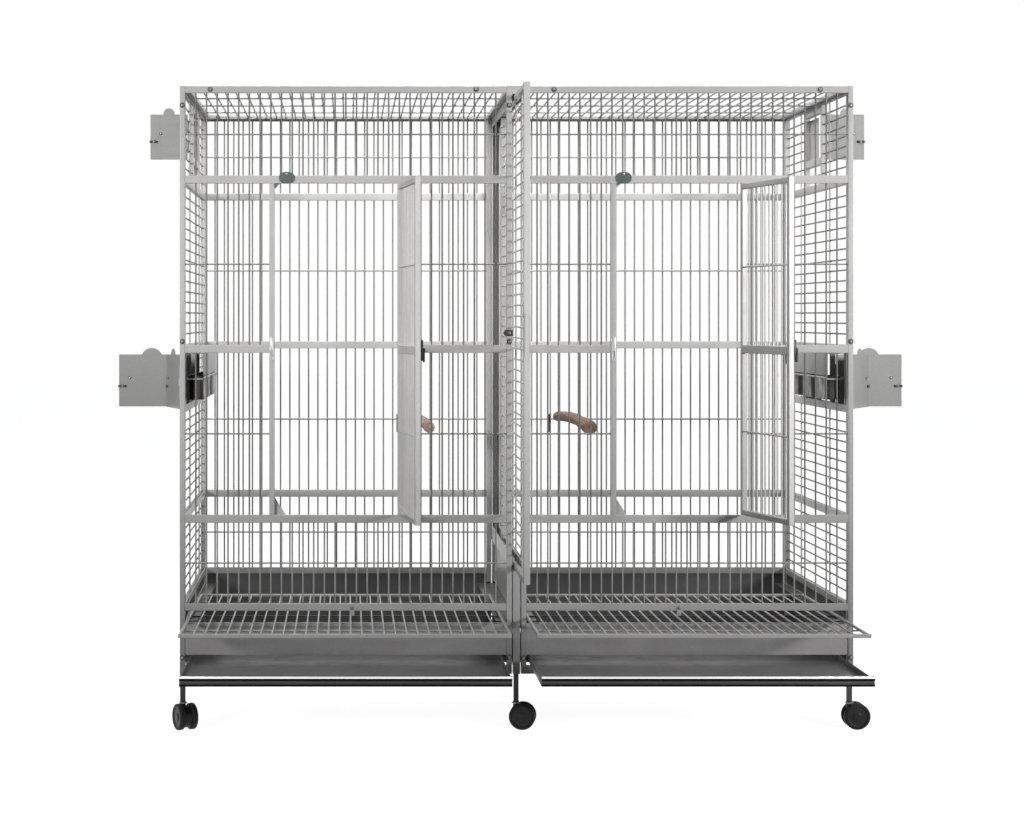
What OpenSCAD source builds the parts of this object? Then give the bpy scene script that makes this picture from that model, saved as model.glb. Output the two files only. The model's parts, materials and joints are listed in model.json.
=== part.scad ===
// Large parrot cage with two compartments, in millimetres, +Z up.
// The front faces -Y. A pull-out divider runs in the middle. Each half has a front door,
// a pull-out grate, a pull-out tray, a perch and four side feeder doors. Six twin-wheel castors
// carry the cage. Tubes and wires are straight bars, each its own solid, as they are welded.

/* [Frame] */
// Width over the outer stiles
cage_w = 2032; // [2000:4:2060]
// Depth over the front and rear panels
cage_d = 1016; // [1010:1:1030]
// Height of the roof above the floor
cage_h = 1942; // [1938:1:1950]
// Side of the square frame tubes
tube = 16; // [15:0.5:17]
// Corner radius of the frame tubes
tube_r = 2; // [1:0.5:3]
// Height of the wide cross rails
rail_h = 24; // [20:1:26]
// Height of the rail above the grate slot
slot_rail_h = 21; // [18:1:22]
// Height of the bottom rails
base_rail_h = 25; // [20:1:26]
// Height of the top rails
top_rail_h = 21; // [19:1:22]
// Gap between the left and the right front panel
centre_gap = 28; // [27:0.5:30]
// Seam between neighbouring welded bars
seam = 0.05; // [0.05:0.01:0.08]
// Gap between a moving piece and a face it passes
run_gap = 0.3; // [0.3:0.05:0.5]

/* [Rail heights] */
// Underside of the bottom rails
base_z = 169; // [165:1:172]
// Underside of the rail above the grate slot
slot_rail_z = 359; // [357:1:362]
// Underside of the rail below the doors
sill_z = 624; // [618:1:630]
// Underside of the rail below the feeder doors
feeder_rail_z = 956; // [950:1:958]
// Underside of the middle rail
middle_z = 1137; // [1135:1:1142]
// Underside of the rail above the doors
lintel_z = 1648; // [1644:1:1654]

/* [Wires] */
// Thickness of the wires
wire_d = 5; // [4:0.5:5.5]
// Upright wires in each front or rear panel
wires = 29; // [28:1:30]
// Depth of the upright wires behind the outer face
wire_in = 6; // [5:0.5:6.5]
// Thickness of the bowl holder wires
holder_d = 4; // [3:0.5:5]

/* [Doors] */
// Distance from the panel edge to the door jamb
jamb_in = 270; // [262:1:276]
// Width of the door opening
doorway_w = 380; // [374:1:384]
// Clearance round the door
door_gap = 3; // [2.5:0.25:4]
// Upright wires in each door half
door_wires = 10; // [8:1:11]
// How far the left door stands open
left_open = 96.6; // [0:0.1:130]
// How far the right door stands open
right_open = 101.7; // [0:0.1:130]
// Distance of the door hinge axis in front of the panel
hinge_out = 4; // [4:0.25:5]
// Distance of the door hinge axis behind the door's edge, on the jamb
hinge_in = 10; // [8:0.5:11]
// Radius of the door hinge barrels
barrel_r = 3.5; // [3:0.1:3.8]
// Radius of the hinge pins
pin_r = 1.6; // [1.2:0.1:1.8]
// Radial clearance of pins and stems
pin_fit = 0.05; // [0.03:0.01:0.09]
// Length of one hinge barrel
barrel_h = 18; // [14:1:24]

/* [Lock] */
// Height of the lock case centre
lock_z = 1150; // [1146:1:1156]
// Width of the lock case
lock_w = 18; // [15:0.5:20]
// Height of the lock case
lock_h = 60; // [50:1:70]
// Thickness of the lock case
lock_t = 7; // [6:0.5:8]
// Length of the lock lever below its pivot
lever_l = 34; // [28:1:38]
// Width of the lock lever
lever_w = 12; // [10:0.5:14]
// Thickness of the lock lever
lever_t = 5; // [4:0.5:6]
// Height of the strike plate
strike_h = 74; // [64:1:80]
// Width of the strike plate
strike_w = 13; // [11:0.5:14]

/* [Divider] */
// Width of the front stile of the divider
divider_w = 18.5; // [17:0.5:19]
// Underside of the divider
divider_z = 484; // [483:0.5:486]
// Top of the divider
divider_top = 1914; // [1910:0.5:1915]
// How far the divider stands out of the front
divider_out = 400; // [0:5:600]
// Length of the divider from front to rear
divider_l = 990; // [960:1:992]
// Wires in the divider
divider_wires = 42; // [38:1:44]

/* [Grates and trays] */
// Width of a grate
grate_w = 950; // [940:1:950]
// Length of a grate
grate_l = 960; // [940:1:964]
// How far the grates stand out of the front
grate_out = 389; // [0:5:600]
// Underside of a grate
grate_z = 328; // [327.9:0.1:329]
// Middle of the left grate
left_grate_x = -517; // [-518:1:-510]
// Middle of the right grate
right_grate_x = 506; // [506:1:512]
// Long wires in a grate
grate_wires = 28; // [26:1:30]
// Width of a tray
tray_w = 940; // [930:1:942]
// Length of a tray behind its lip
tray_l = 952; // [930:1:956]
// How far the trays stand out of the front
tray_out = 450; // [0:5:600]
// Underside of a tray
tray_z = 203; // [202.9:0.1:204]
// Middle of the left tray
left_tray_x = -515; // [-516:1:-510]
// Middle of the right tray
right_tray_x = 507; // [507:1:512]
// Sheet thickness of a tray
tray_t = 2; // [1.5:0.25:2.5]
// Height of the tray walls
tray_h = 20; // [16:0.5:21]

/* [Feeders] */
// Length of a lower feeder door
plate_l = 205; // [203:0.5:205]
// Height of a lower feeder door
plate_h = 163; // [150:1:168]
// Underside of a lower feeder door
plate_z = 965; // [962:1:968]
// Length of the upper feeder door
high_plate_l = 118.5; // [117:0.5:118.5]
// Height of the upper feeder door
high_plate_h = 144; // [140:1:148]
// Underside of the upper feeder door
high_plate_z = 1747; // [1745:1:1750]
// Sheet thickness of a feeder door
plate_t = 2; // [1.5:0.25:2]
// How far the left front feeder door stands open
left_front_feeder = 16; // [0:1:80]
// How far the right front feeder door stands open
right_front_feeder = 28; // [0:1:80]
// How far the middle feeder doors stand open
middle_feeder = 90; // [0:1:90]
// How far the upper feeder doors stand open
upper_feeder = 90; // [0:1:158]
// Width of an oval feeder cup below its rim
cup_w = 46; // [42:1:46]
// Length of an oval feeder cup below its rim
cup_l = 165; // [150:1:168]
// Depth of a feeder cup below its rim
cup_h = 70; // [60:1:71]

/* [Perches] */
// Thickness of a perch
perch_d = 42; // [30:1:43]
// How far a perch rises in its middle
perch_rise = 12; // [8:1:20]
// How much lower the front end of a perch lies
perch_drop = 16; // [4:1:17]

/* [Castors] */
// Radius of a castor wheel
wheel_r = 39.5; // [38:0.25:40]
// Width of one wheel disc
wheel_w = 17; // [14:0.5:18]
// Offset of the wheel axle from the swivel axis
trail = 20; // [16:0.5:22]
// Width of the castor fork between the wheels
fork_w = 22; // [20:0.5:23]
// Radius of the castor stem
stem_r = 5; // [4:0.25:5.5]

/* [Hidden] */
$fn = 32;
// outlines, so that the middle of the whole object lies at the origin
lip_out = 5;
front_y = (tray_out + lip_out - cage_d) / 2;
half_w = cage_w / 2;
panel_w = half_w - centre_gap / 2;
inner_w = panel_w - 2 * tube;
pitch = inner_w / (wires + 1);
rear_y = cage_d - tube;
left_x = -half_w;
right_x = centre_gap / 2;
side_x = half_w - tube;
top_z = cage_h - top_rail_h;
slot_top = slot_rail_z + slot_rail_h;
sill_top = sill_z + rail_h;
feeder_sill = feeder_rail_z + rail_h;
middle_top = middle_z + rail_h;
lintel_top = lintel_z + rail_h;
base_top = base_z + base_rail_h;
wire_r = wire_d / 2;
cross_in = wire_in + wire_d + seam;
bays = [[slot_top, sill_z], [sill_top, middle_z], [middle_top, lintel_z], [lintel_top, top_z]];
// doors
doorway_x = jamb_in + tube;
hinge_x = doorway_x + doorway_w - door_gap / 2 + hinge_in;
door_w = doorway_w - 2 * door_gap;
door_near = door_gap / 2 + hinge_in;
door_far = door_w + door_near;
door_z = sill_top + door_gap;
door_top = lintel_z - door_gap;
hinge_zs = [720, 1060, 1540];
barrel_gap = 0.3;
leaf_t = 2;
leaf_l = 23;
fixed_leaf_l = 6;
lock_x = -door_far + lock_w / 2;
lock_pin_r = 3;
lock_head_r = 5;
lock_head_t = 1.5;
// aprons, skirts and slots
apron_z = 226;
apron_top = 322;
sheet_t = 1.5;
apron_in = 4;
skirt_in = 8;
// centre channel
channel_in = 3.5;
channel_z = 478;
channel_top = 525;
header_z = 1918;
guide_z = 1895;
post_w = 21;
post_out = 2;
leg_w = 15;
leg_z = 84;
rear_stop_y = 990;
rear_guide_y = 950;
runner_t = 3.5;
runner_in = 38;
runner_mid = 62;
grate_runner_z = grate_z - run_gap;
tray_runner_z = tray_z - run_gap;
// castors
castor_y = tube * 1.5;
castor_x = half_w - tube / 2;
axle_r = 4;
hub_r = 33;
neck_r = 9;
neck_top = leg_z - run_gap;
stem_depth = 26;
wheel_gap = 0.5;
// feeders
feeder_ys = [50, 262, 474];
feeder_posts = [42, 250, 462, 674];
high_posts = [389, 641];
high_hinge_y = 397;
high_rail_z = 1732;
high_top = 1897;
side_wire_ys = [284, 732];
cup_x = side_x - 28;
cup_ys = [154, 364, 576];
cup_z = 993;
cup_t = 1.5;
rim_w = 3;
rim_t = 2;
holder_gap = 0.5;
hinge_side = 4;
plate_gap = 1.2;
sleeve_h = 40;
knuckle_r = 3.2;
knuckle_h = 10;
pin_h = 50;
latch_l = 27;
latch_w = 8;
latch_t = 2;
latch_in = 10.2;
latch_up = 64;
high_latch_up = 57;
spare_rivet_in = 33;
spare_rivet_up = 26;
rivet_r = 1.5;
rivet_head_r = 3;
rivet_head_t = 1;
bump_r = 34;
high_bump_r = 18;
bump_h = 20;
hood_in = 54;
hood_x = side_x - hood_in;
hood_z = 1067;
hood_top = 1135;

// Shared helpers

module place() {
    translate([0, front_y, 0]) children();
}

module rounded(w, h) {
    translate([tube_r, 0]) square([w - 2 * tube_r, h]);
    translate([0, tube_r]) square([w, h - 2 * tube_r]);
    for (u = [tube_r, w - tube_r])
        for (v = [tube_r, h - tube_r])
            translate([u, v]) circle(r = tube_r);
}

module bar_x(x1, x2, y, z, w, h) {
    translate([x1, y, z]) rotate([90, 0, 90]) linear_extrude(x2 - x1) rounded(w, h);
}

module bar_y(x, y1, y2, z, w, h) {
    translate([x, y2, z]) rotate([90, 0, 0]) linear_extrude(y2 - y1) rounded(w, h);
}

module bar_z(x, y, z1, z2, w = tube, d = tube) {
    translate([x, y, z1]) linear_extrude(z2 - z1) rounded(w, d);
}

module box(x1, x2, y1, y2, z1, z2) {
    translate([x1, y1, z1]) cube([x2 - x1, y2 - y1, z2 - z1]);
}

module wire_x(x1, x2, y, z, r = wire_r) {
    translate([x1, y, z]) rotate([0, 90, 0]) cylinder(r = r, h = x2 - x1);
}

module wire_y(x, y1, y2, z, r = wire_r) {
    translate([x, y1, z]) rotate([-90, 0, 0]) cylinder(r = r, h = y2 - y1);
}

module wire_z(x, y, z1, z2, r = wire_r) {
    translate([x, y, z1]) cylinder(r = r, h = z2 - z1);
}

module disc_y(x, y1, y2, z, r) {
    wire_y(x, y1, y2, z, r);
}

function wire_at(i) = tube + i * pitch;
function at_door(i) = wire_at(i) > jamb_in - wire_r && wire_at(i) < doorway_x + doorway_w + tube + wire_r;
function middle_of(b) = (b[0] + b[1]) / 2;

// Front and rear panels

module panel_frame(x0, y0) {
    x1 = x0 + tube + seam;
    x2 = x0 + panel_w - tube - seam;
    for (x = [x0, x0 + panel_w - tube]) bar_z(x, y0, base_z, cage_h);
    bar_x(x1, x2, y0, base_z, tube, base_rail_h);
    bar_x(x1, x2, y0, slot_rail_z, tube, slot_rail_h);
    bar_x(x1, x2, y0, sill_z, tube, rail_h);
    bar_x(x1, x2, y0, lintel_z, tube, rail_h);
    bar_x(x1, x2, y0, top_z, tube, top_rail_h);
}

module upright_wires(x0, y, b, door) {
    for (i = [1 : wires])
        if (!(door && at_door(i)))
            wire_z(x0 + wire_at(i), y, b[0] + seam, b[1] - seam);
}

module front_panel(x0) {
    color("silver") place() {
        panel_frame(x0, 0);
        x_in = x0 + tube + seam;
        x_out = x0 + panel_w - tube - seam;
        x_left = x0 + jamb_in - seam;
        x_right = x0 + doorway_x + doorway_w + tube + seam;
        for (x = [x0 + jamb_in, x0 + doorway_x + doorway_w])
            bar_z(x, 0, sill_top + seam, lintel_z - seam);
        bar_x(x_in, x_left, 0, middle_z, tube, rail_h);
        bar_x(x_right, x_out, 0, middle_z, tube, rail_h);
        for (k = [0 : 3]) upright_wires(x0, wire_in, bays[k], k == 1 || k == 2);
        for (k = [0, 3]) wire_x(x_in, x_out, cross_in, middle_of(bays[k]));
        for (k = [1, 2]) {
            wire_x(x_in, x_left, cross_in, middle_of(bays[k]));
            wire_x(x_right, x_out, cross_in, middle_of(bays[k]));
        }
        door_stops(x0);
    }
}

// Triangular plates behind the corners of the doorway that the door closes against
module door_stops(x0) {
    stop_t = 2;
    low = [33, 53];
    high = [16, 16];
    lap = 8;
    x = x0 + doorway_x;
    translate([x, tube + run_gap + stop_t, sill_top]) rotate([90, 0, 0]) linear_extrude(stop_t)
        polygon([[-lap, -lap], [low[0], -lap], [low[0], 0], [0, low[1]], [-lap, low[1]]]);
    translate([x, tube + run_gap + stop_t, lintel_z]) rotate([90, 0, 0]) linear_extrude(stop_t)
        polygon([[-lap, lap], [high[0], lap], [high[0], 0], [0, -high[1]], [-lap, -high[1]]]);
}

module rear_panel(x0) {
    color("silver") place() {
        panel_frame(x0, rear_y);
        x_in = x0 + tube + seam;
        x_out = x0 + panel_w - tube - seam;
        bar_x(x_in, x_out, rear_y, middle_z, tube, rail_h);
        for (b = bays) {
            upright_wires(x0, cage_d - wire_in, b, false);
            wire_x(x_in, x_out, cage_d - cross_in, middle_of(b));
        }
    }
}

// Side panels, drawn for the right side

module leg_stile(y0) {
    difference() {
        bar_z(side_x, y0, leg_z, cage_h - seam, tube, tube - seam);
        translate([castor_x, y0 < castor_y ? castor_y : cage_d - castor_y, leg_z - 1])
            cylinder(r = stem_r + pin_fit, h = stem_depth + 2);
    }
}

module side_rail(z, h) {
    bar_y(side_x, 2 * tube + seam, cage_d - 2 * tube - seam, z, tube, h);
}

module side_wires(z1, z2, n, y1, y2) {
    for (i = [1 : n])
        wire_y(half_w - wire_in, y1 + seam, y2 - seam, z1 + i * (z2 - z1) / (n + 1));
}

module leg_gusset(y, dir) {
    gusset = [60, 85];
    t = 4;
    translate([half_w - tube / 2 - t / 2, y, base_z]) rotate([90, 0, 90]) linear_extrude(t)
        polygon([[dir * seam, -seam], [dir * gusset[0], -seam], [dir * seam, -gusset[1]]]);
}

module feeder_pin(y, zc) {
    wall_x = half_w;
    x = wall_x + hinge_side;
    wire_z(x, y, zc - pin_h, zc + pin_h, pin_r);
    wire_z(x, y, zc - knuckle_h, zc + knuckle_h, knuckle_r);
    box(wall_x, x, y - knuckle_r, y + knuckle_r / 2, zc - knuckle_h, zc + knuckle_h);
}

module side_panel() {
    y1 = 2 * tube;
    y2 = cage_d - 2 * tube;
    bays_side = [[slot_top, sill_z, 7], [sill_top, feeder_rail_z, 9], [middle_top, lintel_z, 14]];
    color("silver") place() {
        leg_stile(tube + seam);
        leg_stile(cage_d - 2 * tube);
        for (z = [feeder_rail_z, sill_z, middle_z, lintel_z]) side_rail(z, rail_h);
        side_rail(base_z, base_rail_h);
        side_rail(slot_rail_z, slot_rail_h);
        side_rail(top_z, top_rail_h - seam);
        for (b = bays_side) {
            side_wires(b[0], b[1], b[2], y1, y2);
            for (y = side_wire_ys) wire_z(half_w - cross_in, y, b[0] + seam, b[1] - seam);
        }
        side_wires(feeder_sill, middle_z, 4, feeder_posts[3] + tube, y2);
        wire_z(half_w - cross_in, side_wire_ys[1], feeder_sill + seam, middle_z - seam);
        for (y = feeder_posts) bar_z(side_x, y, feeder_sill + seam, middle_z - seam);
        for (y = high_posts) bar_z(side_x, y, lintel_top + seam, top_z - seam);
        for (z = [high_rail_z, high_top])
            bar_y(side_x, high_posts[0] + tube + seam, high_posts[1] - seam, z, tube, rail_h - 2 * seam);
        side_wires(lintel_top, top_z, 7, y1, high_posts[0]);
        side_wires(lintel_top, top_z, 7, high_posts[1] + tube, y2);
        side_wires(lintel_top, high_rail_z, 1, high_posts[0] + tube, high_posts[1]);
        for (y = side_wire_ys) wire_z(half_w - cross_in, y, lintel_top + seam, top_z - seam);
        leg_gusset(y1, 1);
        leg_gusset(y2, -1);
        for (z = [grate_runner_z, tray_runner_z])
            box(side_x - runner_in, half_w - skirt_in - sheet_t - seam, y1 + seam, y2 - seam,
                z - runner_t, z);
        for (y = feeder_ys) feeder_pin(y, plate_z + plate_h / 2);
        feeder_pin(high_hinge_y, high_plate_z + high_plate_h / 2);
        high_cover();
    }
}

// Fixed sheet over the part of the upper feeder opening that its door leaves free
module high_cover() {
    cover_t = 2;
    cover_gap = 0.5;
    box(half_w, half_w + cover_t, high_hinge_y + high_plate_l + cover_gap, high_posts[1] + tube / 2,
        high_plate_z, high_plate_z + high_plate_h);
}

// Roof with two wire panels

module roof_half(x0) {
    w = side_x - centre_gap / 2;
    y1 = tube + seam;
    y2 = cage_d - tube - seam;
    z = cage_h - tube;
    for (x = [x0 + seam, x0 + w - tube - seam]) bar_y(x, y1, y2, z, tube, tube);
    for (y = [y1, y2 - tube])
        bar_x(x0 + tube + 2 * seam, x0 + w - tube - 2 * seam, y, z, tube, tube);
    roof_pitch = (w - 2 * tube) / wires;
    for (i = [1 : wires - 1])
        wire_y(x0 + tube + i * roof_pitch, y1 + tube + seam, y2 - tube - seam, cage_h - tube / 2);
    for (k = [1 : 3])
        wire_x(x0 + tube + 2 * seam, x0 + w - tube - 2 * seam,
            tube + k * (cage_d - 2 * tube) / 4, cage_h - tube / 2 - wire_d - seam);
}

module roof_panels() {
    color("silver") place() {
        roof_half(-side_x);
        roof_half(centre_gap / 2);
    }
}

// Centre: posts, legs, partition sheet, divider channels and runners

module centre_leg(y) {
    difference() {
        bar_z(-leg_w / 2, y - leg_w / 2, leg_z, base_z - seam, leg_w, leg_w);
        wire_z(0, y, leg_z - 1, leg_z + stem_depth + 1, stem_r + pin_fit);
    }
}

module centre_partition() {
    y1 = tube + seam;
    y2 = cage_d - tube - seam;
    half_gap = centre_gap / 2;
    c = half_gap - seam;
    color("silver") place() {
        box(-post_w / 2, post_w / 2, -post_out, 2 * tube - seam, base_z, channel_z - seam);
        box(-post_w / 2, post_w / 2, cage_d - 2 * tube + seam, cage_d - seam, base_z, channel_z - seam);
        centre_leg(castor_y);
        centre_leg(cage_d - castor_y);
        box(-sheet_t, sheet_t, 2 * tube, cage_d - 2 * tube, base_z + runner_t, channel_z - seam);
        box(-c, c, y1, y2, channel_z, divider_z - run_gap);
        box(-c, c, seam, cage_d - seam, header_z, cage_h);
        for (s = [0, 1]) mirror([s, 0, 0]) {
            box(half_gap - channel_in, c, y1, y2, divider_z - run_gap + seam, channel_top);
            box(half_gap - channel_in, c, y1, y2, guide_z, header_z - seam);
            box(half_gap - channel_in, c, rear_guide_y, y2, channel_top + seam, guide_z - seam);
            bar_z(half_gap + seam, y1, base_z, cage_h - tube - seam, tube - seam, tube);
            bar_z(half_gap + seam, y2 - tube, base_z, cage_h - tube - seam, tube - seam, tube);
            for (z = [grate_runner_z, tray_runner_z])
                box(sheet_t + seam, runner_mid, 2 * tube + 2 * seam, cage_d - 2 * tube - 2 * seam,
                    z - runner_t, z);
        }
        box(-half_gap + channel_in + seam, half_gap - channel_in - seam, rear_stop_y, cage_d - seam,
            divider_z - run_gap + seam, header_z - seam);
    }
}

// Sheets under the front rail, at both sides and at the rear

module lower_skirts() {
    color("gray") place() {
        for (x0 = [left_x, right_x]) {
            x1 = x0 + tube;
            x2 = x0 + panel_w - tube;
            box(x1, x2, apron_in, apron_in + sheet_t, apron_z, apron_top);
            box(x1, x2, cage_d - skirt_in - sheet_t, cage_d - skirt_in, base_top, slot_rail_z);
        }
        for (s = [0, 1]) mirror([s, 0, 0])
            box(half_w - skirt_in - sheet_t, half_w - skirt_in, 2 * tube, cage_d - 2 * tube,
                base_top, slot_rail_z);
    }
}

// Screws with washers, and the shoulder screws of the stop and the grate clips

washer_r = 8;
washer_t = 1.5;
screw_r = 5;
screw_t = 3;
stop_x = -(centre_gap + tube) / 2;
stop_z = 1197;
stop_t = 5;
clip_z = 368;
left_clip_x = -496;
right_clip_x = 490;
clip_t = 2;
shoulder_r = 2.5;
high_screw_down = 58;
side_screw_zs = [218, 1171, cage_h - high_screw_down];
centre_screw_zs = [219, 1170, cage_h - high_screw_down];
low_screw_z = 217;
top_screw_xs = [-924, -122, 113, 916];

module face_screw(x, z) {
    disc_y(x, -washer_t, 0, z, washer_r);
    disc_y(x, -washer_t - screw_t, -washer_t - seam, z, screw_r);
}

module shoulder_screw(x, z, t) {
    disc_y(x, -t - 2 * run_gap, 0, z, shoulder_r);
    disc_y(x, -t - 2 * run_gap - screw_t, -t - 2 * run_gap, z, screw_r);
}

module panel_screws() {
    outer = half_w - tube / 2;
    color("dimgray") place() {
        for (x = [-outer, outer]) for (z = side_screw_zs) face_screw(x, z);
        for (z = centre_screw_zs) face_screw(stop_x, z);
        face_screw(-stop_x, low_screw_z);
        for (x = top_screw_xs) face_screw(x, cage_h - top_rail_h / 2);
        shoulder_screw(stop_x, stop_z, stop_t);
        shoulder_screw(left_clip_x, clip_z, clip_t);
        shoulder_screw(right_clip_x, clip_z, clip_t);
    }
}

// Bare oval badges above the doors

badge_xs = [-693, 323];

module badge(x) {
    badge_w = 49;
    badge_h = 36;
    badge_t = 3;
    badge_up = 2;
    badge_z = lintel_z - door_gap + badge_h / 2 + badge_up;
    bolt_r = 3;
    bolt_t = 2;
    bolt_in = 6;
    // an oval from four exact arcs: two end circles and two wide ones cut to a lens
    end_r = 12;
    wide_r = (pow(badge_w / 2 - end_r, 2) + pow(badge_h / 2, 2) - pow(end_r, 2))
        / (2 * (badge_h / 2 - end_r));
    translate([x, -run_gap, badge_z]) rotate([90, 0, 0]) linear_extrude(badge_t) {
        intersection() {
            translate([0, wide_r - badge_h / 2]) circle(r = wide_r);
            translate([0, badge_h / 2 - wide_r]) circle(r = wide_r);
            square([badge_w - end_r, badge_h], center = true);
        }
        for (s = [-1, 1]) translate([s * (badge_w / 2 - end_r), 0]) circle(r = end_r);
    }
    disc_y(x, -run_gap - badge_t - seam - bolt_t, -run_gap - badge_t - seam,
        badge_z + badge_h / 2 - bolt_in, bolt_r);
}

module badge_plates() {
    color("darkslategray") place()
        for (x = badge_xs) badge(x);
}

// Strike plates of the locks on the left jambs

module strike_plate(x0) {
    strike_t = 3;
    catch_h = 21;
    catch_w = 7;
    strike_z = lock_z - 3;
    catch_z = lock_z - 28;
    x = x0 + jamb_in + tube / 2;
    difference() {
        box(x - strike_w / 2, x + strike_w / 2, -strike_t, 0, strike_z - strike_h / 2,
            strike_z + strike_h / 2);
        box(x - catch_w / 2, x + catch_w / 2, -strike_t - 1, 1, catch_z, catch_z + catch_h);
    }
}

module strike_plates() {
    color("lightgray") place() {
        strike_plate(left_x);
        strike_plate(right_x);
    }
}

// Fixed halves of the door hinges

module door_hinges() {
    color("silver") place()
        for (x0 = [left_x, right_x]) for (z = hinge_zs) translate([x0 + hinge_x, -hinge_out, z]) {
            cylinder(r = barrel_r, h = barrel_h);
            cylinder(r = pin_r, h = 2 * barrel_h);
            box(0, fixed_leaf_l, hinge_out - leaf_t, hinge_out, 0, barrel_h);
        }
}

// Doors, drawn round the hinge axis, closed towards -X

module at_hinge(x0, angle) {
    place() translate([x0 + hinge_x, -hinge_out, 0]) rotate([0, 0, angle]) children();
}

module door(x0, angle) {
    y = hinge_out;
    near = -door_near;
    x1 = -door_far + tube + seam;
    x2 = near - tube - seam;
    inner = door_w - 2 * tube;
    color("silver") at_hinge(x0, angle) {
        bar_z(-door_far, y, door_z, door_top);
        bar_z(near - tube, y, door_z, door_top);
        bar_x(x1, x2, y, door_z, tube, tube);
        bar_x(x1, x2, y, middle_z, tube, rail_h);
        bar_x(x1, x2, y, door_top - tube, tube, tube);
        for (b = [[door_z + tube, middle_z], [middle_top, door_top - tube]]) {
            for (i = [1 : door_wires])
                wire_z(x1 + i * inner / (door_wires + 1), y + wire_in, b[0] + seam, b[1] - seam);
            wire_x(x1, x2, y + cross_in, middle_of(b));
        }
        for (z = hinge_zs) {
            z1 = z + barrel_h + barrel_gap;
            z2 = z + 2 * barrel_h;
            difference() {
                union() {
                    wire_z(0, 0, z1, z2, barrel_r);
                    box(-leaf_l, 0, y - run_gap - leaf_t, y - run_gap, z1, z2);
                    box(-leaf_l, near, y - run_gap, y - seam, z1, z2);
                }
                wire_z(0, 0, z, z2 + barrel_h, pin_r + pin_fit);
            }
        }
    }
}

module door_lock(x0, angle) {
    color("dimgray") at_hinge(x0, angle) {
        bar_z(lock_x - lock_w / 2, hinge_out - lock_t, lock_z - lock_h / 2, lock_z + lock_h / 2,
            lock_w, lock_t);
        y1 = hinge_out - lock_t;
        disc_y(lock_x, y1 - run_gap - lever_t, y1 - seam, lock_z, lock_pin_r);
        disc_y(lock_x, y1 - run_gap - lever_t - run_gap - lock_head_t, y1 - run_gap - lever_t - run_gap + seam,
            lock_z, lock_head_r);
    }
}

module lock_lever(x0, angle) {
    y2 = hinge_out - lock_t - run_gap;
    y1 = y2 - lever_t;
    color("black") at_hinge(x0, angle)
        difference() {
            union() {
                disc_y(lock_x, y1, y2, lock_z, lever_w * 0.6);
                box(lock_x - lever_w / 2, lock_x + lever_w / 2, y1, y2, lock_z - lever_l + lever_w / 2, lock_z);
                disc_y(lock_x, y1, y2, lock_z - lever_l + lever_w / 2, lever_w / 2);
            }
            disc_y(lock_x, y1 - 1, y2 + 1, lock_z, lock_pin_r + pin_fit);
        }
}

// Divider with its grip plate

module divider() {
    y1 = -divider_out;
    y2 = y1 + divider_l;
    yf = y1 + divider_w + seam;
    yr = y2 - tube - seam;
    grip_z = 1133;
    grip_h = 124;
    grip_w = 12;
    grip_t = 3;
    color("silver") place() {
        bar_z(-divider_w / 2, y1, divider_z, divider_top, divider_w, divider_w);
        bar_z(-tube / 2, y2 - tube, divider_z, divider_top);
        for (z = [divider_z, divider_top - tube]) bar_y(-tube / 2, yf, yr, z, tube, tube);
        h = divider_top - divider_z - 2 * tube;
        for (i = [1 : divider_wires])
            wire_y(0, yf, yr, divider_z + tube + i * h / (divider_wires + 1));
        for (k = [1 : 3])
            wire_z(wire_d + seam, y1 + k * divider_l / 4, divider_z + tube + seam,
                divider_top - tube - seam);
        box(-grip_w / 2, grip_w / 2, y1 - grip_t - seam, y1 - seam, grip_z, grip_z + grip_h);
    }
}

// Turning stop beside the divider, on the left inner stile

module divider_stop() {
    stop_h = 19;
    reach = 11;
    knob_r = 8;
    y1 = -stop_t - run_gap;
    y2 = -run_gap;
    color("dimgray") place()
        difference() {
            union() {
                box(stop_x - knob_r, stop_x + reach, y1, y2, stop_z - stop_h / 2, stop_z + stop_h / 2);
                disc_y(stop_x - knob_r, y1, y2, stop_z, stop_h / 2);
            }
            disc_y(stop_x, y1 - 1, y2 + 1, stop_z, shoulder_r + pin_fit);
        }
}

// Grates of straight wires in a frame

module grate(x) {
    y1 = -grate_out;
    y2 = y1 + grate_l;
    bar_t = 8;
    lip_z = grate_z + 3;
    lip_h = 12;
    lay_z = grate_z + wire_d + seam;
    half = grate_w / 2;
    clear = grate_w - 2 * bar_t;
    color("silver") place() {
        bar_x(x - half, x + half, y1, lip_z, bar_t, lip_h);
        bar_x(x - half, x + half, y2 - bar_t, lay_z, bar_t, bar_t);
        for (xs = [x - half, x + half - bar_t])
            bar_y(xs, y1 + bar_t + seam, y2 - bar_t - seam, lay_z, bar_t, bar_t);
        for (i = [1 : grate_wires])
            wire_y(x - half + bar_t + i * clear / (grate_wires + 1), y1 + bar_t + seam,
                y2 - bar_t - seam, lay_z + wire_r);
        for (k = [1 : 5])
            wire_x(x - half + seam, x + half - seam, y1 + k * grate_l / 6, grate_z + wire_r);
    }
}

// Folded trays with a bright front lip

module tray(x) {
    yl = -tray_out - lip_out;
    y1 = yl + 8;
    y2 = y1 + tray_l;
    half = tray_w / 2;
    lip_z = 220;
    lip_top = 234;
    lip_t = 3.5;
    fold_z = 209;
    wall_z = tray_z + tray_t + seam;
    wall_top = tray_z + tray_h;
    color("gray") place() {
        box(x - half, x + half, y1, y2, tray_z, tray_z + tray_t);
        box(x - half, x + half, y2 - tray_t, y2, wall_z, wall_top);
        box(x - half, x + half, y1, y1 + tray_t, wall_z, wall_top);
        for (xs = [x - half, x + half - tray_t])
            box(xs, xs + tray_t, y1 + tray_t + seam, y2 - tray_t - seam, wall_z, wall_top);
        box(x - half, x + half, yl, yl + lip_t, lip_z, lip_top);
        box(x - half, x + half, yl + lip_t + seam, y1 - seam, lip_z, wall_top);
        box(x - half, x + half, yl + lip_t, y1 - seam, tray_z, fold_z);
    }
}

// Turning clips that keep the grates in

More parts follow.
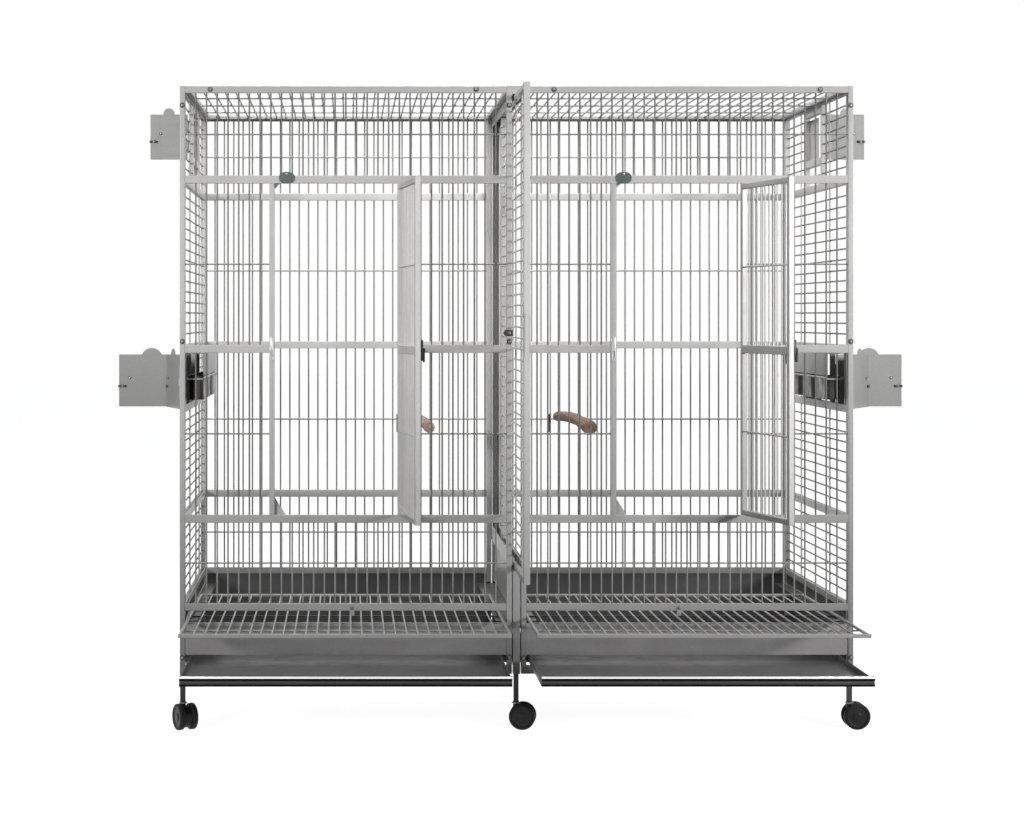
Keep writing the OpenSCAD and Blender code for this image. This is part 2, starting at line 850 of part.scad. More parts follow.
module grate_clip(x) {
    clip_w = 14;
    clip_low = 345;
    y1 = -clip_t - run_gap;
    y2 = -run_gap;
    color("silver") place()
        difference() {
            union() {
                disc_y(x, y1, y2, clip_z, clip_w / 2);
                box(x - clip_w / 2, x + clip_w / 2, y1, y2, clip_low, clip_z);
            }
            disc_y(x, y1 - 1, y2 + 1, clip_z, shoulder_r + pin_fit);
        }
}

// Feeder doors, drawn for the right side round their hinge axis, closed towards +Y

module at_feeder(y, angle) {
    place() translate([half_w + hinge_side, y, 0]) rotate([0, 0, -angle]) children();
}

module feeder_door(y, angle, z, l, h, bump, latch_z) {
    x1 = -hinge_side + plate_gap;
    x2 = x1 + plate_t;
    x3 = x2 + latch_t + 2 * run_gap;
    zc = z + h / 2;
    root = 0.5;
    color("gainsboro") at_feeder(y, angle)
        union() {
            difference() {
                union() {
                    box(x1, x2, 0, l, z, z + h);
                    translate([x1, l / 2, z + h - bump + bump_h]) rotate([0, 90, 0])
                        cylinder(r = bump, h = plate_t);
                    for (s = [-1, 1]) translate([0, 0, zc + s * (knuckle_h + barrel_gap + sleeve_h / 2)])
                        cylinder(r = knuckle_r, h = sleeve_h, center = true);
                }
                wire_z(0, 0, z - 1, z + h + 1, pin_r + pin_fit);
                box(x1 - 2, x2 + 2, -knuckle_r - 1, knuckle_r + 1.5, zc - knuckle_h - barrel_gap,
                    zc + knuckle_h + barrel_gap);
            }
            wire_x(x2 - root, x3, l - latch_in, latch_z, rivet_r);
            wire_x(x3, x3 + rivet_head_t, l - latch_in, latch_z, rivet_head_r);
            wire_x(x2 - root, x2 + rivet_head_t, l - spare_rivet_in, latch_z + spare_rivet_up, rivet_head_r);
        }
}

module feeder_latch(y, angle, l, latch_z) {
    x1 = -hinge_side + plate_gap + plate_t + run_gap;
    x2 = x1 + latch_t;
    yc = l - latch_in;
    ends = (latch_l - latch_w) / 2;
    color("dimgray") at_feeder(y, angle)
        difference() {
            union() {
                box(x1, x2, yc - ends, yc + ends, latch_z - latch_w / 2, latch_z + latch_w / 2);
                for (s = [-1, 1]) wire_x(x1, x2, yc + s * ends, latch_z, latch_w / 2);
            }
            wire_x(x1 - 1, x2 + 1, yc, latch_z, rivet_r + pin_fit);
        }
}

module low_door(i, angle) {
    feeder_door(feeder_ys[i], angle, plate_z, plate_l, plate_h, bump_r, plate_z + latch_up);
}

module high_door(angle) {
    feeder_door(high_hinge_y, angle, high_plate_z, high_plate_l, high_plate_h, high_bump_r,
        high_plate_z + high_latch_up);
}

module low_latch(i, angle) {
    feeder_latch(feeder_ys[i], angle, plate_l, plate_z + latch_up);
}

module high_latch(angle) {
    feeder_latch(high_hinge_y, angle, high_plate_l, high_plate_z + high_latch_up);
}

module left_side() {
    mirror([1, 0, 0]) children();
}

// Oval cups, their holders and the hoods over them

module stadium(l, w) {
    square([w, l - w], center = true);
    for (s = [-1, 1]) translate([0, s * (l - w) / 2]) circle(d = w);
}

module cup(y) {
    place() translate([cup_x, y, cup_z])
        difference() {
            union() {
                linear_extrude(cup_h + rim_t) stadium(cup_l, cup_w);
                translate([0, 0, cup_h]) linear_extrude(rim_t) stadium(cup_l + 2 * rim_w, cup_w + 2 * rim_w);
            }
            translate([0, 0, cup_t]) linear_extrude(cup_h + rim_t)
                stadium(cup_l - 2 * cup_t, cup_w - 2 * cup_t);
        }
}

module feeder_bowls() {
    color("dimgray")
        for (s = [0, 1]) mirror([s, 0, 0])
            for (y = cup_ys) cup(y);
}

module bowl_holders() {
    r = holder_d / 2;
    out = cup_w / 2 + r + holder_gap;
    zh = cup_z + cup_h - r - run_gap;
    color("silver") place()
        for (s = [0, 1]) mirror([s, 0, 0]) {
            for (x = [cup_x - out, cup_x + out])
                wire_y(x, feeder_posts[0] + tube / 2 - r, feeder_posts[3] + tube / 2 + r, zh, r);
            for (y = feeder_posts)
                wire_x(cup_x - out - r - holder_gap, side_x - seam, y + tube / 2, zh - holder_d - seam, r);
        }
}

module feeder_hoods() {
    y1 = feeder_posts[0];
    y2 = feeder_posts[3] + tube;
    color("silver") place()
        for (s = [0, 1]) mirror([s, 0, 0]) {
            box(hood_x, side_x - seam, y1, y2, hood_top - sheet_t, hood_top);
            box(hood_x, hood_x + sheet_t, y1, y2, hood_z, hood_top - sheet_t - seam);
        }
}

// Arched perches fixed to the rear wires

perch_xs = [left_x + tube + 21.5 * pitch, right_x + tube + 5.75 * pitch];
perch_z = 902;
perch_rear_y = 997.5;
perch_cut = 2;
perch_run = 478;
perch_side = 61;

module perch(x) {
    chord = sqrt(pow(perch_run, 2) + pow(perch_side, 2));
    bend_r = (pow(chord / 2, 2) + pow(perch_rise, 2)) / (2 * perch_rise);
    turn = atan2(perch_side, perch_run);
    tilt = asin(perch_drop / chord);
    intersection() {
        translate([x, perch_rear_y, perch_z])
            rotate([0, 0, turn])
            rotate([tilt, 0, 0])
            translate([0, -chord / 2, perch_rise - bend_r])
            rotate([0, 90, 0])
            rotate_extrude($fn = 360)
            translate([bend_r, 0]) circle(d = perch_d);
        box(-half_w, half_w, perch_rear_y - perch_run, perch_rear_y - perch_cut, sill_z, lintel_z);
    }
}

module perches() {
    color("sienna") place()
        for (x = perch_xs) perch(x);
}

module perch_mounts() {
    washer = 16;
    plate_w = 10;
    plate_tall = 62;
    plate_x = 36;
    plate_in = 3;
    plate_low = 54;
    bolt_r = 4;
    head_r = 12;
    head_t = 3;
    in_y = cage_d - cross_in - wire_r - seam;
    color("dimgray") place()
        for (x = perch_xs) {
            disc_y(x, perch_rear_y - perch_cut + seam, in_y, perch_z, washer);
            disc_y(x, in_y + seam, cage_d - head_t, perch_z, bolt_r);
            disc_y(x, cage_d - head_t + seam, cage_d, perch_z, head_r);
            box(x - plate_x, x - plate_x + plate_w, in_y - plate_in, in_y, perch_z - plate_low,
                perch_z - plate_low + plate_tall);
        }
}

// Castors, drawn at the swivel axis with the wheels trailing towards +X

// swivel axis in X and Y, and the way each castor points
castors = [
    [-castor_x, castor_y, -65],
    [0, castor_y, -10],
    [castor_x, castor_y, 0],
    [-castor_x, cage_d - castor_y, -86],
    [0, cage_d - castor_y, -95],
    [castor_x, cage_d - castor_y, -90]
];

module at_castor(c) {
    place() translate([c[0], c[1], 0]) rotate([0, 0, c[2]]) children();
}

module castor_fork(c) {
    color("black") at_castor(c)
        difference() {
            union() {
                disc_y(trail, -fork_w / 2, fork_w / 2, wheel_r, hub_r);
                cylinder(r = neck_r, h = neck_top);
                cylinder(r = stem_r, h = leg_z + stem_depth);
            }
            disc_y(trail, -fork_w, fork_w, wheel_r, axle_r + pin_fit);
            translate([0, 0, -1]) cylinder(r = neck_r * 2, h = wheel_r / 2);
        }
}

module castor_wheels(c) {
    edge = 3;
    dish = 1.5;
    y1 = fork_w / 2 + wheel_gap;
    color("black") at_castor(c) translate([trail, 0, wheel_r]) {
        for (s = [0, 1]) mirror([0, s, 0]) translate([0, y1, 0]) rotate([-90, 0, 0])
            rotate_extrude()
                polygon([[0, 0], [wheel_r - edge, 0], [wheel_r, edge], [wheel_r, wheel_w - edge],
                    [wheel_r - edge, wheel_w], [wheel_r - 3 * edge, wheel_w],
                    [wheel_r - 4 * edge, wheel_w - dish], [0, wheel_w - dish]]);
        rotate([90, 0, 0]) cylinder(r = axle_r, h = 2 * y1 + wheel_w, center = true);
    }
}

// Nodes

front_panel(left_x);  // left_front_panel
front_panel(right_x);  // right_front_panel
rear_panel(left_x);  // left_rear_panel
rear_panel(right_x);  // right_rear_panel
left_side() side_panel();  // left_side_panel
side_panel();  // right_side_panel
roof_panels();
centre_partition();
lower_skirts();
panel_screws();
badge_plates();
strike_plates();
door_hinges();
perches();
perch_mounts();
feeder_hoods();
bowl_holders();
feeder_bowls();
door(left_x, left_open);  // left_door
door(right_x, right_open);  // right_door
door_lock(left_x, left_open);  // left_door_lock
door_lock(right_x, right_open);  // right_door_lock
lock_lever(left_x, left_open);  // left_lock_lever
lock_lever(right_x, right_open);  // right_lock_lever
divider();
divider_stop();
grate(left_grate_x);  // left_grate
grate(right_grate_x);  // right_grate
tray(left_tray_x);  // left_tray
tray(right_tray_x);  // right_tray
grate_clip(left_clip_x);  // left_grate_clip
grate_clip(right_clip_x);  // right_grate_clip
left_side() low_door(0, left_front_feeder);  // left_front_feeder_door
left_side() low_door(1, middle_feeder);  // left_middle_feeder_door
left_side() low_door(2, 0);  // left_rear_feeder_door
left_side() high_door(upper_feeder);  // left_upper_feeder_door
low_door(0, right_front_feeder);  // right_front_feeder_door
low_door(1, middle_feeder);  // right_middle_feeder_door
low_door(2, 0);  // right_rear_feeder_door
high_door(upper_feeder);  // right_upper_feeder_door
left_side() low_latch(0, left_front_feeder);  // left_front_feeder_latch
left_side() low_latch(1, middle_feeder);  // left_middle_feeder_latch
left_side() low_latch(2, 0);  // left_rear_feeder_latch
left_side() high_latch(upper_feeder);  // left_upper_feeder_latch
low_latch(0, right_front_feeder);  // right_front_feeder_latch
low_latch(1, middle_feeder);  // right_middle_feeder_latch
low_latch(2, 0);  // right_rear_feeder_latch
high_latch(upper_feeder);  // right_upper_feeder_latch
castor_fork(castors[0]);  // front_left_castor_fork
castor_fork(castors[1]);  // front_centre_castor_fork
castor_fork(castors[2]);  // front_right_castor_fork
castor_fork(castors[3]);  // rear_left_castor_fork
castor_fork(castors[4]);  // rear_centre_castor_fork
castor_fork(castors[5]);  // rear_right_castor_fork
castor_wheels(castors[0]);  // front_left_castor_wheels
castor_wheels(castors[1]);  // front_centre_castor_wheels
castor_wheels(castors[2]);  // front_right_castor_wheels
castor_wheels(castors[3]);  // rear_left_castor_wheels
castor_wheels(castors[4]);  // rear_centre_castor_wheels
castor_wheels(castors[5]);  // rear_right_castor_wheels
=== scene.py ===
import json
import math

import bmesh
import bpy
from mathutils import Matrix, Vector, noise

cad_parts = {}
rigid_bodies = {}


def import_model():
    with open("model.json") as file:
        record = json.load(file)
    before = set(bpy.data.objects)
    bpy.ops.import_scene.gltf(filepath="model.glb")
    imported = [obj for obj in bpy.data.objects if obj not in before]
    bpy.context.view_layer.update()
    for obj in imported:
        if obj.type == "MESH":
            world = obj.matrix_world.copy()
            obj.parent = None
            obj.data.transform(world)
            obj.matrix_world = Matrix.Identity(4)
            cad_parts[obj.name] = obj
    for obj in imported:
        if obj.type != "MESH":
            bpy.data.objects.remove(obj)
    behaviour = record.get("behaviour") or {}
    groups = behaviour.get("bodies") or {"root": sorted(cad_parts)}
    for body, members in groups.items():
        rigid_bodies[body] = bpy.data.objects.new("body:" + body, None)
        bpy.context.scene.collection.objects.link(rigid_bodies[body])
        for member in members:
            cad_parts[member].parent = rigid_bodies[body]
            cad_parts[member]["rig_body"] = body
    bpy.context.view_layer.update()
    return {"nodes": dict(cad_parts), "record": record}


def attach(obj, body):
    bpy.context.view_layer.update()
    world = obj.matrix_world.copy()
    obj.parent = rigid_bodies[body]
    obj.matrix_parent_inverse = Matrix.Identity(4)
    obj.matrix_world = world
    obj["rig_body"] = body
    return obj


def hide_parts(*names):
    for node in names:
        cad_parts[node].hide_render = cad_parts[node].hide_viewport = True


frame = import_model()
nodes = frame["nodes"]
slot_of = {row["node"]: row["material_slot"] for row in frame["record"]["subparts"]}

# Sizes in cage millimetres: x from the middle, y back from the front plane, z up from the floor

MM = 0.001
FRONT_Y = -280.5          # the cage's front plane in the part's frame
CAGE_D = 1016
HALF_W = 1016
TUBE = 16
WIRE = 5
WIRE_IN = 8.5             # the middle of a panel's thin wires, behind its outer face
WIRE_BAND = 5.2           # half of the layer that holds the wires and their cross wires
ROOF_WIRES = (1926, 1937)
GAP_HALF = 14             # half of the gap between the two compartments
PANEL_W = HALF_W - GAP_HALF
OUTER = HALF_W - TUBE / 2
POST_X = 22               # the screws beside the centre post
STILE_SCREW_ZS = (218, 1171, 1884)
POST_SCREW_ZS = (219, 1170, 1884)
TOP_SCREW_XS = (-924, -122, 113, 916)
TOP_SCREW_Z = 1931.5      # also the middle of the roof's wires
CLIP_XS = (-496, 490)
CLIP_Z = 368
STOP_Z = 1197
BADGE_XS = (-693, 323)
BADGE_Z = 1665
BAYS = ((380, 624), (648, 1137), (1161, 1648), (1672, 1921))
CROSS_YS = (284, 732)     # the upright wires of the side panels
DOORWAY = (270, 682)      # the door's opening, from a panel's left edge
DOORWAY_BAYS = BAYS[1:3]


def at(x, y, z):
    """A point given in cage millimetres, y counted back from the front plane."""
    return Vector((x * MM, (y + FRONT_Y) * MM, z * MM))


def depth(y):
    """A depth behind the front plane, in metres of the part's frame."""
    return (y + FRONT_Y) * MM


# Where painted shade and painted highlight darken or brighten the paint: bounds for the masks, in metres of
# the part's frame
REAR_Y = depth(980.5)     # behind this lie the rear panels
INNER_YS = (depth(8.5), depth(30.5))
SLOT_Y = depth(35.5)
SLOT_ZS = (0.17, 0.333)
FRONT_HIGHLIGHT_YS = (depth(-19.5), depth(-339.5))
LEG_ZS = (0.172, 0.166)
LOW_BAY_ZS = (0.60, 0.66)
REAR_LOW_ZS = (0.66, 0.62)
# bounds of the painted highlight on the trays' lips and the painted shadow under them
LIP_Y = -0.7305           # the bright lips of the trays lie before this
LIP_ZS = (0.2262, 0.232)


# Camera: the photograph's eye, a little above the middle rails and left of the divider

cam_data = bpy.data.cameras.new("photo_camera")
cam_data.lens = 80.2
cam_data.sensor_width = 36
cam_data.shift_x = 0.161
cam_data.shift_y = -0.0903
cam_data.clip_end = 200
cam = bpy.data.objects.new("photo_camera", cam_data)
cam.location = (-0.511, -7.1605, 1.245)
cam.rotation_euler = (math.pi / 2, 0, 0)
bpy.context.scene.collection.objects.link(cam)
bpy.context.scene.camera = cam
bpy.context.scene.view_settings.view_transform = "Standard"


# Node helpers

def put(tree, kind, **values):
    node = tree.nodes.new(kind)
    for key, value in values.items():
        if key in node.inputs:
            node.inputs[key].default_value = value
        else:
            setattr(node, key, value)
    return node


def join(tree, a, b):
    tree.links.new(a, b)


def math_node(tree, operation, a, b=None):
    node = tree.nodes.new("ShaderNodeMath")
    node.operation = operation
    for socket, value in zip(node.inputs, (a, b)):
        if value is None:
            continue
        if isinstance(value, (int, float)):
            socket.default_value = value
        else:
            tree.links.new(value, socket)
    return node.outputs[0]


def map_range(tree, value, low, high, to_low, to_high):
    node = put(tree, "ShaderNodeMapRange")
    tree.links.new(value, node.inputs["Value"])
    for name, number in (("From Min", low), ("From Max", high), ("To Min", to_low), ("To Max", to_high)):
        if isinstance(number, (int, float)):
            node.inputs[name].default_value = number
        else:
            tree.links.new(number, node.inputs[name])
    return node.outputs["Result"]


def noise_at(tree, vector, scale, detail=2.0, rough=0.5):
    node = put(tree, "ShaderNodeTexNoise", Detail=detail, Roughness=rough)
    tree.links.new(vector, node.inputs["Vector"])
    if isinstance(scale, (int, float)):
        node.inputs["Scale"].default_value = scale
    else:
        tree.links.new(scale, node.inputs["Scale"])
    return node.outputs["Fac"]


def stretched(tree, vector, scale):
    node = put(tree, "ShaderNodeMapping")
    node.inputs["Scale"].default_value = scale
    tree.links.new(vector, node.inputs["Vector"])
    return node.outputs["Vector"]


def mix_colour(tree, factor, a, b):
    node = put(tree, "ShaderNodeMix", data_type="RGBA")
    factor_in = node.inputs[0]
    if isinstance(factor, (int, float)):
        factor_in.default_value = factor
    else:
        tree.links.new(factor, factor_in)
    for socket, value in ((node.inputs[6], a), (node.inputs[7], b)):
        if isinstance(value, tuple):
            socket.default_value = value
        else:
            tree.links.new(value, socket)
    return node.outputs[2]


def scaled_colour(tree, colour, factor):
    node = put(tree, "ShaderNodeVectorMath", operation="SCALE")
    tree.links.new(colour, node.inputs[0])
    tree.links.new(factor, node.inputs["Scale"])
    return node.outputs["Vector"]


def new_group(name, inputs, outputs):
    tree = bpy.data.node_groups.new(name, "ShaderNodeTree")
    for label, kind, value in inputs:
        socket = tree.interface.new_socket(name=label, in_out="INPUT", socket_type=kind)
        socket.default_value = value
    for label, kind in outputs:
        tree.interface.new_socket(name=label, in_out="OUTPUT", socket_type=kind)
    return tree, tree.nodes.new("NodeGroupInput"), tree.nodes.new("NodeGroupOutput")


FLOAT = "NodeSocketFloat"
COLOUR = "NodeSocketColor"


def product(tree, first, *others):
    for other in others:
        first = math_node(tree, "MULTIPLY", first, other)
    return first


def darkened(tree, tone, amount):
    """The tone with a share of it taken away."""
    return product(tree, tone, math_node(tree, "SUBTRACT", 1.0, amount))


def between(tree, value, low, high):
    """1 where a value lies between two bounds, otherwise 0."""
    above = math_node(tree, "GREATER_THAN", value, low)
    return product(tree, above, math_node(tree, "LESS_THAN", value, high))


def beyond(tree, value, bound):
    return math_node(tree, "GREATER_THAN", value, bound)


def axes(tree, output):
    """X, Y and Z of the piece's own coordinates or of its normals."""
    split = put(tree, "ShaderNodeSeparateXYZ")
    join(tree, put(tree, "ShaderNodeTexCoord").outputs[output], split.inputs[0])
    return [split.outputs[k] for k in range(3)]


def inside_sides(tree, x):
    """1 between the inner faces of the side panels' tubes."""
    return math_node(tree, "LESS_THAN", math_node(tree, "ABSOLUTE", x), (HALF_W - TUBE - 1) * MM)


def painted_wire_shade_group():
    """Where the thin wires of the panels lie, as masks for the painted shade that makes them darker than the
    tubes.
    """
    tree, gin, gout = new_group(
        "painted_wire_shade",
        [("Front", FLOAT, 0.5), ("Rear", FLOAT, 0.5), ("Side", FLOAT, 0.5), ("Roof", FLOAT, 0.5)],
        [("Shade", FLOAT)])
    x, y, z = axes(tree, "Object")
    normals = axes(tree, "Normal")
    off_y, off_z = (math_node(tree, "SUBTRACT", 1.0, math_node(tree, "ABSOLUTE", normals[k]))
                    for k in (1, 2))
    inside = inside_sides(tree, x)
    near, far = WIRE_IN - WIRE_BAND, WIRE_IN + WIRE_BAND
    # the painted shade is weaker in the low bay, where the wires stand over dark parts
    low_bay = map_range(tree, z, *LOW_BAY_ZS, 0.3, 1.0)
    front = product(tree, between(tree, y, depth(near), depth(far)), inside, low_bay)
    rear = product(tree, between(tree, y, depth(CAGE_D - far), depth(CAGE_D - near)), inside)
    side = between(tree, math_node(tree, "ABSOLUTE", x), (HALF_W - far) * MM, (HALF_W - near) * MM)
    roof = product(tree, between(tree, z, ROOF_WIRES[0] * MM, ROOF_WIRES[1] * MM), inside,
                   between(tree, y, depth(TUBE + WIRE / 2), depth(CAGE_D - TUBE - WIRE / 2)))
    shades = [product(tree, mask, off, gin.outputs[name])
              for mask, off, name in ((front, off_z, "Front"), (rear, off_z, "Rear"), (side, off_y, "Side"),
                                      (roof, off_y, "Roof"))]
    total = shades[0]
    for shade in shades[1:]:
        total = math_node(tree, "MAXIMUM", total, shade)
    join(tree, total, gout.inputs["Shade"])
    return tree


PAINTED_WIRE_SHADE = painted_wire_shade_group()


def not_outside(tree, place, normals):
    """1 everywhere but on the faces that look out of the sides and the back of the cage."""
    sides = beyond(tree, product(tree, place[0], normals[0]), 0.97)
    back = product(tree, beyond(tree, place[1], REAR_Y), beyond(tree, normals[1], 0.5))
    return math_node(tree, "SUBTRACT", 1.0, math_node(tree, "MAXIMUM", sides, back))


def powder_coat_group():
    """Baked powder paint: cloudy tone, orange-peel grain and dull rubbed patches, with painted shade on the
    wires, the legs, the inner faces, the tray slots and low on the rear panels, and a painted highlight on
    faces that stand out in front.
    """
    tree, gin, gout = new_group(
        "powder_coat",
        [("Paint", COLOUR, (0.6, 0.6, 0.6, 1)), ("Cloudiness", FLOAT, 0.08), ("Grain Scale", FLOAT, 700.0),
         ("Sheen Roughness", FLOAT, 0.38), ("Rubbed", FLOAT, 0.15), ("Front Wires", FLOAT, 0.0),
         ("Rear Wires", FLOAT, 0.0), ("Side Wires", FLOAT, 0.0), ("Roof Wires", FLOAT, 0.0),
         ("Leg Painted Shade", FLOAT, 0.0), ("Inner Painted Shade", FLOAT, 0.0), ("Slot Painted Shade", FLOAT, 0.0),
         ("Front Painted Highlight", FLOAT, 0.0)],
        [("Color", COLOUR), ("Roughness", FLOAT), ("Height", FLOAT)])
    place = put(tree, "ShaderNodeTexCoord").outputs["Object"]
    x, y, z = axes(tree, "Object")
    normals = axes(tree, "Normal")
    clouds = noise_at(tree, place, 5.0, 4.0, 0.6)
    low = math_node(tree, "SUBTRACT", 1.0, gin.outputs["Cloudiness"])
    high = math_node(tree, "ADD", 1.0, gin.outputs["Cloudiness"])
    flecks = noise_at(tree, place, 240.0, 1.0, 0.5)
    tone = product(tree, map_range(tree, clouds, 0.3, 0.7, low, high),
                   map_range(tree, flecks, 0.35, 0.65, 0.96, 1.04))
    # painted shade on the thin wires of the panels
    wires = put(tree, "ShaderNodeGroup")
    wires.node_tree = PAINTED_WIRE_SHADE
    for name in ("Front", "Rear", "Side", "Roof"):
        join(tree, gin.outputs[name + " Wires"], wires.inputs[name])
    # painted shade on the legs below the trays, heavier on the left side
    leg_shade_heavier_left = map_range(tree, x, -1.0, 1.0, 1.04, 0.87)
    painted_leg_shade = product(tree, map_range(tree, z, *LEG_ZS, 0.0, 1.0), gin.outputs["Leg Painted Shade"], leg_shade_heavier_left)
    # painted shade on the inner faces behind the front plane
    painted_inner_shade = product(tree, map_range(tree, y, *INNER_YS, 0.0, 1.0), gin.outputs["Inner Painted Shade"],
                         not_outside(tree, (x, y, z), normals))
    # painted shade in the tray slots, and low on the rear panels
    painted_slot_shade = product(tree, between(tree, z, *SLOT_ZS), beyond(tree, y, SLOT_Y), inside_sides(tree, x),
                        gin.outputs["Slot Painted Shade"])
    painted_rear_shade = product(tree, beyond(tree, y, REAR_Y), map_range(tree, z, *REAR_LOW_ZS, 0.0, 0.5),
                        gin.outputs["Slot Painted Shade"])
    for painted_shade in (wires.outputs["Shade"], painted_leg_shade, painted_inner_shade, painted_slot_shade, painted_rear_shade):
        tone = darkened(tree, tone, painted_shade)
    # painted highlight on the faces that look forward and stand out in front of the cage
    painted_front_highlight = product(tree, map_range(tree, y, *FRONT_HIGHLIGHT_YS, 0.0, 1.0), gin.outputs["Front Painted Highlight"],
                     map_range(tree, normals[1], -0.4, -0.9, 0.0, 1.0))
    tone = product(tree, tone, math_node(tree, "ADD", 1.0, painted_front_highlight))
    join(tree, scaled_colour(tree, gin.outputs["Paint"], tone), gout.inputs["Color"])
    rub = noise_at(tree, place, 14.0, 5.0, 0.65)
    extra = product(tree, map_range(tree, rub, 0.45, 0.75, 0.0, 1.0), gin.outputs["Rubbed"])
    join(tree, math_node(tree, "ADD", gin.outputs["Sheen Roughness"], extra), gout.inputs["Roughness"])
    peel = noise_at(tree, place, gin.outputs["Grain Scale"], 2.0, 0.5)
    join(tree, peel, gout.inputs["Height"])
    return tree


def brushed_metal_group():
    """Fine lines along one axis, with cloudy polish and a few deeper marks."""
    tree, gin, gout = new_group(
        "brushed_metal",
        [("Metal", COLOUR, (0.7, 0.7, 0.7, 1)), ("Line Scale", FLOAT, 400.0), ("Polish", FLOAT, 0.25),
         ("Stain", FLOAT, 0.1)],
        [("Color", COLOUR), ("Roughness", FLOAT), ("Height", FLOAT)])
    place = put(tree, "ShaderNodeTexCoord").outputs["Object"]
    along = stretched(tree, place, (0.04, 1.0, 1.0))
    lines = noise_at(tree, along, gin.outputs["Line Scale"], 3.0, 0.6)
    clouds = noise_at(tree, place, 22.0, 3.0, 0.55)
    dulling = product(tree, map_range(tree, clouds, 0.35, 0.7, 0.0, 1.0), gin.outputs["Stain"])
    tone = math_node(tree, "SUBTRACT", 1.0, dulling)
    join(tree, scaled_colour(tree, gin.outputs["Metal"], tone), gout.inputs["Color"])
    spread = map_range(tree, lines, 0.3, 0.7, -0.05, 0.08)
    join(tree, math_node(tree, "ADD", math_node(tree, "ADD", gin.outputs["Polish"], spread), dulling),
         gout.inputs["Roughness"])
    join(tree, lines, gout.inputs["Height"])
    return tree


def moulded_plastic_group():
    """Spark-eroded mould grain with slightly shiny, dusty patches."""
    tree, gin, gout = new_group(
        "moulded_plastic",
        [("Plastic", COLOUR, (0.02, 0.02, 0.02, 1)), ("Dust", FLOAT, 0.05), ("Grain Scale", FLOAT, 900.0),
         ("Matt", FLOAT, 0.5)],
        [("Color", COLOUR), ("Roughness", FLOAT), ("Height", FLOAT)])
    place = put(tree, "ShaderNodeTexCoord").outputs["Object"]
    dust = noise_at(tree, place, 30.0, 5.0, 0.7)
    dust_mask = product(tree, map_range(tree, dust, 0.45, 0.8, 0.0, 1.0), gin.outputs["Dust"])
    dusty = mix_colour(tree, dust_mask, gin.outputs["Plastic"], (0.35, 0.34, 0.32, 1))
    join(tree, dusty, gout.inputs["Color"])
    join(tree, math_node(tree, "ADD", gin.outputs["Matt"], dust_mask), gout.inputs["Roughness"])
    join(tree, noise_at(tree, place, gin.outputs["Grain Scale"], 2.0, 0.5), gout.inputs["Height"])
    return tree


def bark_group():
    """Peeled hardwood branch: long fibres, pinkish and greenish patches, small dark knots."""
    tree, gin, gout = new_group(
        "peeled_branch",
        [("Wood", COLOUR, (0.5, 0.33, 0.25, 1)), ("Dark Fibre", COLOUR, (0.2, 0.1, 0.07, 1)),
         ("Patch", COLOUR, (0.5, 0.5, 0.36, 1)), ("Fibre Scale", FLOAT, 160.0)],
        [("Color", COLOUR), ("Roughness", FLOAT), ("Height", FLOAT)])
    place = put(tree, "ShaderNodeTexCoord").outputs["Object"]
    along = stretched(tree, place, (1.0, 0.09, 1.0))
    fibres = noise_at(tree, along, gin.outputs["Fibre Scale"], 5.0, 0.65)
    patches = noise_at(tree, stretched(tree, place, (1.0, 0.5, 1.0)), 28.0, 3.0, 0.6)
    knots = put(tree, "ShaderNodeTexVoronoi", Scale=26.0)
    join(tree, stretched(tree, place, (1.0, 0.45, 1.0)), knots.inputs["Vector"])
    patch_mask = map_range(tree, patches, 0.48, 0.62, 0.0, 0.75)
    fibre_mask = map_range(tree, fibres, 0.42, 0.68, 0.0, 0.8)
    knot_mask = map_range(tree, knots.outputs["Distance"], 0.0, 0.16, 0.85, 0.0)
    colour = mix_colour(tree, patch_mask, gin.outputs["Wood"], gin.outputs["Patch"])
    colour = mix_colour(tree, fibre_mask, colour, gin.outputs["Dark Fibre"])
    colour = mix_colour(tree, knot_mask, colour, gin.outputs["Dark Fibre"])
    join(tree, colour, gout.inputs["Color"])
    join(tree, map_range(tree, fibres, 0.3, 0.7, 0.5, 0.8), gout.inputs["Roughness"])
    join(tree, math_node(tree, "SUBTRACT", fibres, math_node(tree, "MULTIPLY", knot_mask, 0.6)),
         gout.inputs["Height"])
    return tree


EFFECTS = {
    "powder": powder_coat_group(),
    "metal": brushed_metal_group(),
    "plastic": moulded_plastic_group(),
    "branch": bark_group(),
}


def tray_lip_painted_light(tree, colour):
    """Painted highlight on a tray's folded lip, bright and metallic, over a painted shadow in the recess
    under it, near black and metallic.
    """
    y, z = axes(tree, "Object")[1:]
    painted_fold_shadow = product(tree, math_node(tree, "LESS_THAN", y, LIP_Y), math_node(tree, "LESS_THAN", z, LIP_ZS[1]))
    painted_lip_highlight = product(tree, painted_fold_shadow, beyond(tree, z, LIP_ZS[0]))
    colour = mix_colour(tree, painted_fold_shadow, colour, (0.006, 0.006, 0.006, 1))
    join(tree, painted_fold_shadow, tree.nodes["Principled BSDF"].inputs["Metallic"])
    return mix_colour(tree, painted_lip_highlight, colour, (0.8, 0.8, 0.8, 1))


def finish_material(name, effect, values, bump=0.1, reach=0.0004, metallic=0.0, specular=0.25, coat=0.0,
                    after=None):
    material = bpy.data.materials.new(name)
    material.use_nodes = True
    tree = material.node_tree
    shader = tree.nodes["Principled BSDF"]
    group = put(tree, "ShaderNodeGroup")
    group.node_tree = EFFECTS[effect]
    for key, value in values.items():
        group.inputs[key].default_value = value
    colour = after(tree, group.outputs["Color"]) if after else group.outputs["Color"]
    join(tree, colour, shader.inputs["Base Color"])
    join(tree, group.outputs["Roughness"], shader.inputs["Roughness"])
    if not after:
        shader.inputs["Metallic"].default_value = metallic
    shader.inputs["Specular IOR Level"].default_value = specular
    shader.inputs["Coat Weight"].default_value = coat
    bumper = put(tree, "ShaderNodeBump", Strength=bump, Distance=reach)
    join(tree, group.outputs["Height"], bumper.inputs["Height"])
    join(tree, bumper.outputs["Normal"], shader.inputs["Normal"])
    return material


